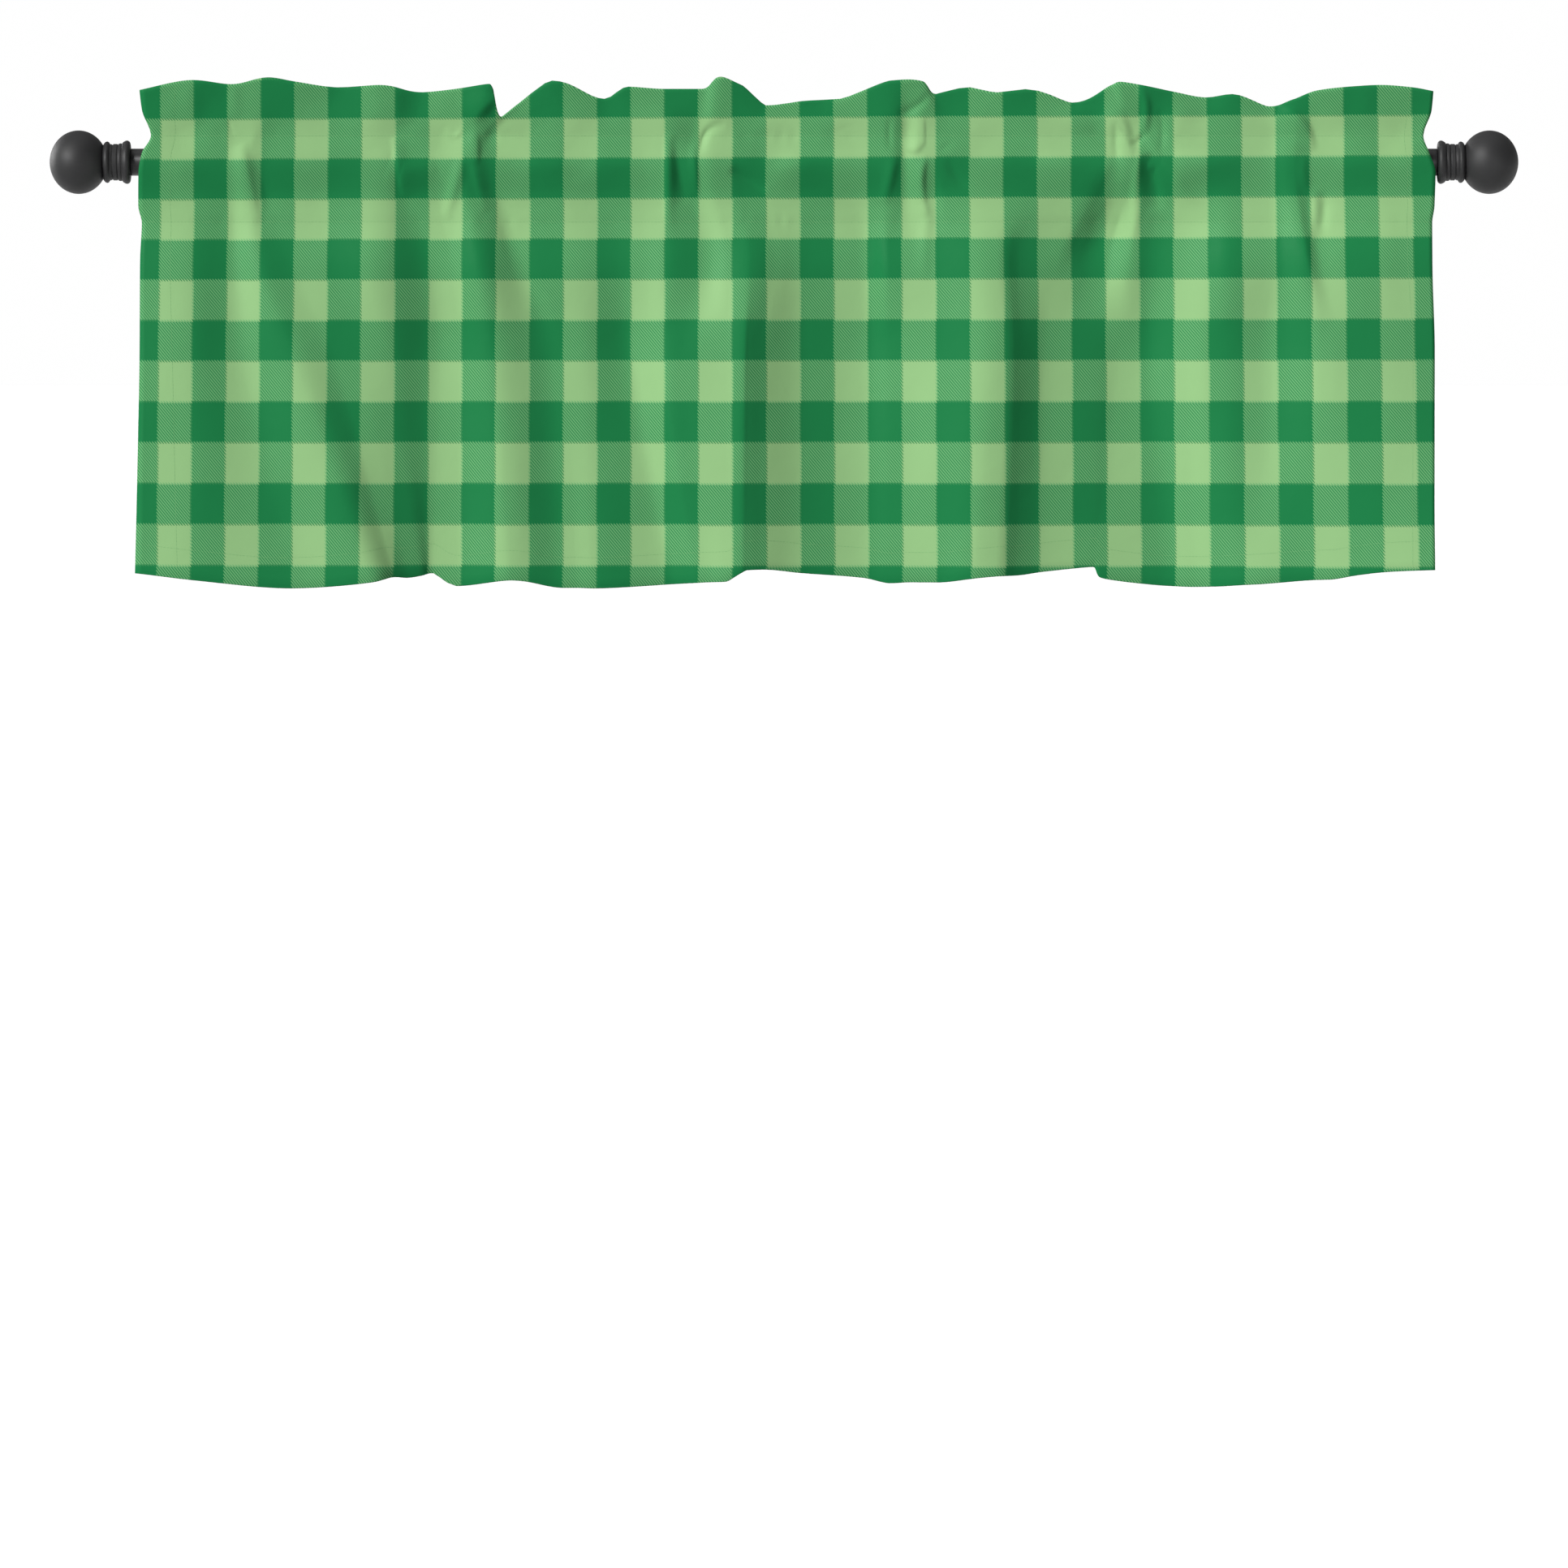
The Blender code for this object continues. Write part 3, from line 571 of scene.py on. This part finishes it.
def crease_lift(x, z, crease):
    """How far one crease lifts the points at x and z. It fades out towards both its ends."""
    left, right, height = crease[7:]
    line = crease_line(crease)
    nearest = np.full(x.shape, np.inf)
    side = np.zeros(x.shape)
    along = np.zeros(x.shape)
    for k, (start, run) in enumerate(zip(line, np.diff(line, axis=0))):
        t = np.clip(((x - start[0]) * run[0] + (z - start[1]) * run[1]) / (run @ run), 0.0, 1.0)
        dx = x - start[0] - t * run[0]
        dz = z - start[1] - t * run[1]
        closer = np.hypot(dx, dz) < nearest
        nearest = np.where(closer, np.hypot(dx, dz), nearest)
        side = np.where(closer, run[0] * dz - run[1] * dx, side)
        along = np.where(closer, (k + t) / (CREASE_STEPS - 1), along)
    width = np.where(side < 0, left, right)
    return height * np.sin(math.pi * along) ** CREASE_TAPER * fade(nearest, width)


def crease_height(rows):
    """How far the creases lift the cloth towards the room at each point of a grid."""
    x, z = rows[..., 0] / MM, rows[..., 2] / MM
    lift = seam_pucker(x, z) + unevenness(x, z)
    for crease in CREASES:
        line = crease_line(crease)
        reach = CREASE_EXTENT * max(crease[7:9])
        low, high = line.min(axis=0) - reach, line.max(axis=0) + reach
        near = (x > low[0]) & (x < high[0]) & (z > low[1]) & (z < high[1])
        lift[near] += crease_lift(x[near], z[near], crease)
    return lift * MM


# --- The cut piece of cloth ----------------------------------------------------------------------


def turn(edge, outward, normal, from_offset, to_offset):
    """Rows that carry the cloth round an edge, from one offset along the normal to another."""
    middle = (from_offset + to_offset) / 2
    radius = (from_offset - to_offset) / 2
    rows = []
    for step in range(1, TURN_STEPS):
        angle = math.pi * step / TURN_STEPS
        offset = middle + radius * math.cos(angle)
        rows.append(edge + normal * offset + outward * abs(radius) * math.sin(angle))
    return rows


def face_rows(stations):
    """The face of the cloth from the hem up to the heading's free edge, creases and all."""
    heights = np.linspace(SLEEVE_SEAM, HEADING_SEAM, SLEEVE_ROWS)
    rows = [skirt_row(stations, part) for part in skirt_parts()]
    rows += [cloth_row(stations, height, height) for height in heights]
    rows += [heading_row(stations, part) for part in np.linspace(0, 1, HEADING_ROWS)[1:]]
    rows = np.array(rows)
    rows[..., 1] -= crease_height(rows)
    nearest = np.sqrt(np.maximum(CLEAR_OF_ROD**2 - rows[..., 2] ** 2, 0.0))
    touching = np.abs(rows[..., 2]) < CLEAR_OF_ROD
    rows[..., 1] = np.where(touching, np.minimum(rows[..., 1], -nearest), rows[..., 1])
    return rows


def back_rows(stations):
    """The layer behind, from the sleeve's lower seam up to the heading's free edge. It follows the
    face's creases except where it stands away from it round the rod."""
    heights = np.linspace(SLEEVE_SEAM, HEADING_SEAM, BACK_SLEEVE_ROWS)
    parts = np.linspace(0, 1, BACK_HEADING_ROWS)[1:]
    rows = [skirt_row(stations, 0)]
    rows += [cloth_row(stations, height, height, back=True) for height in heights]
    rows += [heading_row(stations, part) for part in parts]
    rows = np.array(rows)
    gap = between(column(HANG, 0), column(HANG, 1) - column(HANG, 2), heights)
    beside = np.concatenate([[1.0], np.exp(-gap / LAYER_GAP), 1.0 + 0.0 * parts])
    rows[..., 1] -= crease_height(rows) * beside[:, None]
    return rows


def sheet_rows(stations):
    """Every level of the cloth from the turned-up hem to the back seam, along the middle of its
    thickness, and the level numbers of its seams and edges."""
    up = np.array([0.0, 0.0, 1.0])
    face = face_rows(stations)
    face_normals = normals(face)
    back = back_rows(stations)
    turn_up = (face + face_normals * TURN_UP_OFFSET)[TURN_UP_ROWS::-1]
    hem_turn = turn(face[0], -up, face_normals[0], TURN_UP_OFFSET, FACE_OFFSET)
    top_turn = turn(face[-1], up, face_normals[-1], FACE_OFFSET, -FACE_OFFSET)
    face_layer = list(face + face_normals * FACE_OFFSET)
    back_layer = list((back - normals(back) * FACE_OFFSET)[-2::-1])
    last_back = face[-1] - face_normals[-1] * FACE_OFFSET
    rows = np.array([*turn_up, *hem_turn, *face_layer, *top_turn, last_back, *back_layer])
    hem = len(turn_up) + len(hem_turn)
    sleeve = hem + len(skirt_parts())
    top = hem + len(face) - 1
    levels = {
        "turn_up": 1,
        "hem": hem,
        "hem_stitch": hem + TURN_UP_ROWS,
        "sleeve": sleeve,
        "heading": sleeve + SLEEVE_ROWS - 1,
        "top": top,
        "back_heading": top + TURN_STEPS + BACK_HEADING_ROWS - 1,
        "back_sleeve": len(rows) - 2,
    }
    return rows, levels


def print_heights(rows, hem, top):
    """The height that each point has on the print, as if the cloth were opened out. The print goes on
    round the hem and over the free edge, and its rows grow level down the back."""
    heights = rows[..., 2].copy()
    heights[:hem] = 2 * rows[hem, :, 2] - rows[:hem, :, 2]
    edge, behind = rows[top, :, 2], rows[top + 1:, :, 2]
    settled = np.clip((edge - behind) / (edge - SLEEVE_SEAM), 0.0, 1.0)
    heights[top + 1:] = 2 * (edge + settled * (edge.mean() - edge)) - behind
    return heights


def print_place(x, z):
    """Where a point lies on the print, in checks to the right and down. The columns flare a little
    towards the hem, and the rows open a little to the right and downwards, as the cloth hangs."""
    width = COLUMN_WIDTH - COLUMN_FLARE * z
    across = (x - COLUMN_MIDDLE + COLUMN_LEAN * z) / width
    across -= COLUMN_BOW * across**2
    rightward = (x - LEFT_EDGE) / (RIGHT_EDGE - LEFT_EDGE)
    fallen = ROW_START + ROW_CLIMB * rightward - z
    first = ROW_HEIGHT + ROW_SPREAD * rightward
    down = 2 * fallen / (first + np.sqrt(first**2 + 4 * ROW_GROWTH * fallen))
    return across + 0.5, down


def add_object(name, data):
    """A new object in the scene that shows this mesh, light or camera."""
    thing = bpy.data.objects.new(name, data)
    bpy.context.scene.collection.objects.link(thing)
    return thing


def add_mesh(name, points, faces, *materials):
    """A new piece, shaded smooth."""
    mesh = bpy.data.meshes.new(name)
    mesh.from_pydata(points, [], faces)
    for material in materials:
        mesh.materials.append(material)
    mesh.shade_smooth()
    return add_object(name, mesh)


def grid_mesh(name, rows, print_rows, *materials):
    """A piece over a grid of points, with the print's place as its UV map."""
    levels, count = rows.shape[:2]
    corner = np.arange(levels * count).reshape(levels, count)
    quads = np.stack([corner[:-1, :-1], corner[:-1, 1:], corner[1:, 1:], corner[1:, :-1]], axis=-1)
    piece = add_mesh(name, rows.reshape(-1, 3).tolist(), quads.reshape(-1, 4).tolist(), *materials)
    across, down = print_place(rows[..., 0], print_rows)
    places = np.stack([across.ravel(), down.ravel()], axis=1)
    loops = np.empty(len(piece.data.loops), np.int32)
    piece.data.loops.foreach_get("vertex_index", loops)
    piece.data.uv_layers.new(name="print").data.foreach_set("uv", places[loops].ravel())
    return piece


def thicken(piece, thickness):
    """Gives a sheet its thickness, with its wrong side in the second material."""
    solidify = piece.modifiers.new("thickness", "SOLIDIFY")
    solidify.thickness = thickness
    solidify.offset = 0.0
    solidify.material_offset = 1


# --- Stitches ------------------------------------------------------------------------------------


def along_run(places, run, values):
    """A vector for each place along a run, between those that it has at its points."""
    return np.stack([np.interp(places, run, values[:, k]) for k in range(3)], axis=1)


def stitches(name, line, outward, material):
    """A run of thread stitches along a line of points, each lying on the cloth like a grain."""
    steps = np.linalg.norm(np.diff(line, axis=0), axis=1)
    run = np.concatenate([[0.0], np.cumsum(steps)])
    count = int(run[-1] / STITCH_PITCH)
    starts = (np.arange(count) + FIRST_STITCH) * STITCH_PITCH
    rings = []
    for along, girth, rise in GRAIN:
        places = starts + along * STITCH_LENGTH
        away = along_run(places, run, outward)
        beside = np.cross(away, along_run(places, run, np.gradient(line, axis=0)))
        beside /= np.linalg.norm(beside, axis=1, keepdims=True)
        centre = along_run(places, run, line) + away * (THICKNESS / 2 + rise * THREAD_RADIUS)
        for side in range(THREAD_SIDES):
            angle = 2 * math.pi * side / THREAD_SIDES
            round_it = away * math.cos(angle) + beside * math.sin(angle)
            rings.append(centre + round_it * girth * THREAD_RADIUS)
    points = np.array(rings).transpose(1, 0, 2).reshape(-1, 3)
    pattern = []
    for ring in range(len(GRAIN) - 1):
        for side in range(THREAD_SIDES):
            a = ring * THREAD_SIDES + side
            b = ring * THREAD_SIDES + (side + 1) % THREAD_SIDES
            pattern.append((a, b, b + THREAD_SIDES, a + THREAD_SIDES))
    last = (len(GRAIN) - 1) * THREAD_SIDES
    ends = [tuple(range(THREAD_SIDES))[::-1], tuple(range(last, last + THREAD_SIDES))]
    block = len(GRAIN) * THREAD_SIDES
    faces = [tuple(k * block + v for v in face) for k in range(count) for face in pattern + ends]
    return add_mesh(name, points.tolist(), faces, material)


# --- Turned pieces -------------------------------------------------------------------------------


def turned(name, profile, material, place=0.0, flip=1):
    """A closed turned piece along X from (distance, radius) pairs that start and end on the axis."""
    points, rings = [], []
    for along, radius in profile:
        turns = 1 if radius == 0 else TURNED_SIDES
        rings.append(range(len(points), len(points) + turns))
        for k in range(turns):
            angle = 2 * math.pi * k / TURNED_SIDES
            points.append((place + flip * along, radius * math.cos(angle), radius * math.sin(angle)))
    faces = []
    for ring, following in zip(rings, rings[1:]):
        for k in range(TURNED_SIDES):
            a, b = ring[k % len(ring)], ring[(k + 1) % len(ring)]
            c, d = following[(k + 1) % len(following)], following[k % len(following)]
            face = tuple(dict.fromkeys((a, b, c, d)))
            faces.append(face[::-flip])
    piece = add_mesh(name, points, faces, material)
    piece.data.set_sharp_from_angle(angle=SHARP_ANGLE)
    return piece


def rod_profile():
    """A bar's outline with rounded ends."""
    end = ROD_HALF_LENGTH
    bulge = 0.3 * ROD_EASE
    half = [(end, 0.0), (end, ROD_RADIUS - ROD_EASE)]
    half += [(end - bulge, ROD_RADIUS - bulge), (end - ROD_EASE, ROD_RADIUS)]
    return [(-x, r) for x, r in half] + [(x, r) for x, r in half[::-1]]


def collar_profile():
    """Two beads with a grooved neck between them, as a smooth run through the turned sizes."""
    along = column(COLLAR, 0)
    radius = column(COLLAR, 1)
    fine = np.linspace(along[0], along[-1], COLLAR_STEPS)
    return [(x, r) for x, r in zip(fine, between(along, radius, fine))]


def finial_profile():
    """Stud, collar and slightly flattened ball, measured outwards from the rod's end."""
    start = END_GAP
    profile = [(start - STUD_LENGTH, 0.0), (start - STUD_LENGTH, STUD_RADIUS), (start, STUD_RADIUS)]
    profile += [(start + x, r) for x, r in collar_profile()]
    centre = BALL_CENTRE - ROD_HALF_LENGTH
    opening = math.asin(profile[-1][1] / BALL_RADIUS)
    for k in range(1, BALL_STEPS + 1):
        angle = opening + (math.pi - opening) * k / BALL_STEPS
        radius = 0.0 if k == BALL_STEPS else BALL_RADIUS * math.sin(angle)
        profile.append((centre - BALL_HALF_WIDTH * math.cos(angle), radius))
    return profile


# --- Materials -----------------------------------------------------------------------------------


class Nodes:
    """A short way to write a material's nodes."""

    def __init__(self, name):
        self.material = bpy.data.materials.new(name)
        self.material.use_nodes = True
        self.tree = self.material.node_tree
        self.shader = self.tree.nodes["Principled BSDF"]

    def add(self, kind, **settings):
        node = self.tree.nodes.new(kind)
        for key, value in settings.items():
            setattr(node, key, value)
        return node

    def feed(self, socket, value):
        if isinstance(value, bpy.types.NodeSocket):
            self.tree.links.new(value, socket)
        else:
            socket.default_value = value

    def math(self, operation, first, second=0.0):
        node = self.add("ShaderNodeMath", operation=operation)
        self.feed(node.inputs[0], first)
        self.feed(node.inputs[1], second)
        return node.outputs[0]

    def mix(self, share, first, second):
        node = self.add("ShaderNodeMix", data_type="RGBA")
        self.feed(node.inputs["Factor"], share)
        self.feed(node.inputs["A"], first)
        self.feed(node.inputs["B"], second)
        return node.outputs["Result"]

    def noise(self, vector, scale, detail=2.0):
        node = self.add("ShaderNodeTexNoise")
        self.feed(node.inputs["Vector"], vector)
        node.inputs["Scale"].default_value = scale
        node.inputs["Detail"].default_value = detail
        return node.outputs["Fac"]

    def bump(self, height, strength, distance, normal=None):
        node = self.add("ShaderNodeBump")
        node.inputs["Strength"].default_value = strength
        node.inputs["Distance"].default_value = distance
        self.feed(node.inputs["Height"], height)
        if normal is not None:
            self.feed(node.inputs["Normal"], normal)
        return node.outputs["Normal"]

    def set(self, **values):
        for key, value in values.items():
            self.feed(self.shader.inputs[key.replace("_", " ").title()], value)


def rgba(colour):
    return (*colour, 1.0)


def check_colour(nodes, light, line, dark):
    """A gingham: light where a light column meets a light row, dark where two dark ones meet, and
    slanting light lines on the dark where they differ. The lines run on a thread or two past each
    check, so its edges are toothed."""
    place = nodes.add("ShaderNodeUVMap", uv_map="print").outputs["UV"]
    split = nodes.add("ShaderNodeSeparateXYZ")
    nodes.feed(split.inputs[0], place)
    across, down = split.outputs["X"], split.outputs["Y"]
    slant = nodes.math("MULTIPLY", nodes.math("SUBTRACT", across, down), 2 * math.pi * TWILL_LINES)
    wave = nodes.math("SINE", slant)
    tooth = nodes.math("MULTIPLY", wave, TOOTH)

    def is_dark(value):
        half = nodes.math("MULTIPLY", nodes.math("ADD", value, tooth), 0.5)
        return nodes.math("GREATER_THAN", nodes.math("FRACT", half), 0.5)

    share = nodes.math("ADD", nodes.math("MULTIPLY", wave, LINE_SWING), LINE_SHARE)
    hatched = nodes.mix(share, dark, line)
    dark_column, dark_row = is_dark(across), is_dark(down)
    in_light_row = nodes.mix(dark_column, light, hatched)
    in_dark_row = nodes.mix(dark_column, hatched, dark)
    return nodes.mix(dark_row, in_light_row, in_dark_row), across, down


def weave_bump(nodes, across, down):
    """Fine plain-woven threads, with a slow unevenness under them."""
    threads = THREADS_PER_CHECK * 2 * math.pi
    warp = nodes.math("SINE", nodes.math("MULTIPLY", across, threads))
    weft = nodes.math("SINE", nodes.math("MULTIPLY", down, threads))
    woven = nodes.math("MULTIPLY", warp, weft)
    where = nodes.add("ShaderNodeTexCoord").outputs["Object"]
    uneven = nodes.noise(where, scale=28.0, detail=3.0)
    soft = nodes.bump(uneven, strength=0.25, distance=2.5 * MM)
    return nodes.bump(woven, strength=0.2, distance=0.06 * MM, normal=soft)


def make_print_cloth():
    """The face of the cloth, matt, with the print at full strength."""
    nodes = Nodes("printed_cloth")
    colour, across, down = check_colour(nodes, rgba(LIGHT_GREEN), rgba(LINE_GREEN), rgba(DARK_GREEN))
    nodes.set(base_color=colour, roughness=0.5, normal=weave_bump(nodes, across, down))
    nodes.shader.inputs["Specular IOR Level"].default_value = SPECULAR
    return nodes.material


def make_wrong_side():
    """The back of the printed cloth: the print shows through, paler."""
    nodes = Nodes("cloth_wrong_side")
    colour, across, down = check_colour(nodes, rgba(LIGHT_GREEN), rgba(LINE_GREEN), rgba(DARK_GREEN))
    nodes.set(base_color=nodes.mix(WRONG_SIDE_FADE, colour, rgba(WRONG_SIDE)))
    nodes.set(roughness=0.85, normal=weave_bump(nodes, across, down))
    nodes.shader.inputs["Sheen Weight"].default_value = 0.2
    return nodes.material


def make_thread():
    """Green sewing thread, a little lighter in places."""
    nodes = Nodes("thread")
    where = nodes.add("ShaderNodeTexCoord").outputs["Object"]
    tint = nodes.noise(where, scale=300.0)
    nodes.set(base_color=nodes.mix(tint, rgba(THREAD_DARK), rgba(THREAD_LIGHT)), roughness=0.7)
    return nodes.material


def make_satin_black(name, roughness, metallic, gloss):
    """Satin black paint, faintly uneven."""
    nodes = Nodes(name)
    where = nodes.add("ShaderNodeTexCoord").outputs["Object"]
    cloudy = nodes.noise(where, scale=60.0, detail=3.0)
    stray = nodes.math("MULTIPLY", nodes.math("SUBTRACT", cloudy, 0.5), ROUGHNESS_STRAY)
    lighter = tuple(CLOUD_LIFT * part for part in BLACK)
    speckle = nodes.noise(where, scale=900.0)
    nodes.set(base_color=nodes.mix(cloudy, rgba(BLACK), rgba(lighter)))
    nodes.set(roughness=nodes.math("ADD", stray, roughness))
    nodes.set(normal=nodes.bump(speckle, strength=0.12, distance=0.2 * MM))
    nodes.shader.inputs["Metallic"].default_value = metallic
    nodes.shader.inputs["Specular IOR Level"].default_value = gloss
    return nodes.material


# --- Stage, lights and camera --------------------------------------------------------------------


def make_floor():
    """A wide white floor well below the object, which throws no light back on it."""
    nodes = Nodes("pale_floor")
    where = nodes.add("ShaderNodeTexCoord").outputs["Object"]
    cloudy = nodes.noise(where, scale=0.8, detail=3.0)
    low = rgba((FLOOR_WHITE - FLOOR_CLOUD,) * 3)
    high = rgba((FLOOR_WHITE + FLOOR_CLOUD,) * 3)
    nodes.set(base_color=nodes.mix(cloudy, low, high), roughness=0.9)
    nodes.shader.inputs["Specular IOR Level"].default_value = 0.0
    half = FLOOR_HALF
    corners = [(-half, -half, 0.0), (half, -half, 0.0), (half, half, 0.0), (-half, half, 0.0)]
    floor = add_mesh("floor", corners, [(0, 1, 2, 3)], nodes.material)
    floor.location.z = FLOOR_HEIGHT
    floor.visible_diffuse = False


def aim(thing, target):
    """Turns a light or camera from where it is towards the target."""
    direction = np.array(target) - np.array(thing.location)
    rise = math.atan2(direction[2], math.hypot(direction[0], direction[1]))
    turn_round = math.atan2(-direction[0], direction[1])
    thing.rotation_euler = (math.pi / 2 + rise, 0.0, turn_round)


def add_light(name, kind, energy, place):
    light = bpy.data.lights.new(name, kind)
    light.energy = energy
    lamp = add_object(name, light)
    lamp.location = place
    aim(lamp, (0.0, 0.0, 0.0))
    return light


def make_lights():
    """A soft key from the upper left that is even along the rod, a very soft one from above, a weak
    fill near the right end, and a soft one from behind that shows the back."""
    add_light("key", "SUN", KEY_STRENGTH, KEY_FROM).angle = KEY_SPREAD
    add_light("top", "SUN", TOP_STRENGTH, TOP_FROM).angle = TOP_SPREAD
    add_light("behind", "SUN", BEHIND_STRENGTH, BEHIND_FROM).angle = BEHIND_SPREAD
    add_light("fill", "AREA", FILL_POWER, FILL_FROM).size = FILL_SIZE


def make_world():
    """White to look at, and a softer light on the object."""
    world = bpy.data.worlds.new("studio")
    bpy.context.scene.world = world
    world.use_nodes = True
    tree = world.node_tree
    soft = tree.nodes["Background"]
    soft.inputs["Color"].default_value = (1.0, 1.0, 1.0, 1.0)
    soft.inputs["Strength"].default_value = WORLD_LIGHT
    seen = tree.nodes.new("ShaderNodeBackground")
    seen.inputs["Color"].default_value = rgba((SEEN_WHITE,) * 3)
    paths = tree.nodes.new("ShaderNodeLightPath")
    choose = tree.nodes.new("ShaderNodeMixShader")
    tree.links.new(paths.outputs["Is Camera Ray"], choose.inputs[0])
    tree.links.new(soft.outputs[0], choose.inputs[1])
    tree.links.new(seen.outputs[0], choose.inputs[2])
    tree.links.new(choose.outputs[0], tree.nodes["World Output"].inputs["Surface"])


def make_camera():
    """Level with the middle of the cloth and tipped down, so the object hangs high in the frame."""
    camera = bpy.data.cameras.new("camera")
    camera.sensor_width = SENSOR
    camera.lens = SENSOR * CAMERA_DISTANCE / FRAME_WIDTH
    camera.clip_end = FARTHEST_SEEN
    holder = add_object("camera", camera)
    holder.location = (0.0, -CAMERA_DISTANCE, CAMERA_HEIGHT)
    aim(holder, (0.0, 0.0, FRAME_CENTRE))
    bpy.context.scene.camera = holder


# --- Making it -----------------------------------------------------------------------------------


def make_valance():
    face = make_print_cloth()
    wrong_side = make_wrong_side()
    thread = make_thread()
    rows, levels = sheet_rows(cut_stations())
    outward = normals(rows)
    print_rows = print_heights(rows, levels["hem"], levels["top"])
    cloth = grid_mesh("valance_cloth", rows, print_rows, face, wrong_side)
    thicken(cloth, THICKNESS)
    pieces = []
    for name in ("heading", "sleeve", "back_heading", "back_sleeve", "turn_up", "hem_stitch"):
        level = levels[name]
        pieces.append(stitches(f"stitches_{name}", rows[level], outward[level], thread))
    sleeve_x = rows[levels["sleeve"], :, 0]
    face_levels = slice(levels["hem"], levels["top"])
    for side, edge in (("left", 0), ("right", -1)):
        from_edge = np.abs(sleeve_x - sleeve_x[edge])
        here = (face_levels, int(np.argmin(np.abs(from_edge - SIDE_HEM))))
        pieces.append(stitches(f"stitches_{side}", rows[here], outward[here], thread))
    for piece in [cloth] + pieces:
        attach(piece, "root")
    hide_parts("valance")


def make_rod():
    paint = make_satin_black("black_metal", roughness=0.38, metallic=0.3, gloss=0.5)
    resin = make_satin_black("black_resin", roughness=0.58, metallic=0.0, gloss=0.36)
    rod = turned("curtain_rod", rod_profile(), paint)
    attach(rod, "root")
    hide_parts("rod")
    for side, flip in (("left", -1), ("right", 1)):
        finial = turned(f"ball_finial_{side}", finial_profile(), resin, flip * ROD_HALF_LENGTH, flip)
        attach(finial, "root")
        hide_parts(f"finial_{side}")


make_rod()
make_valance()
make_floor()
make_world()
make_lights()
make_camera()
bpy.context.scene.view_settings.view_transform = "Standard"
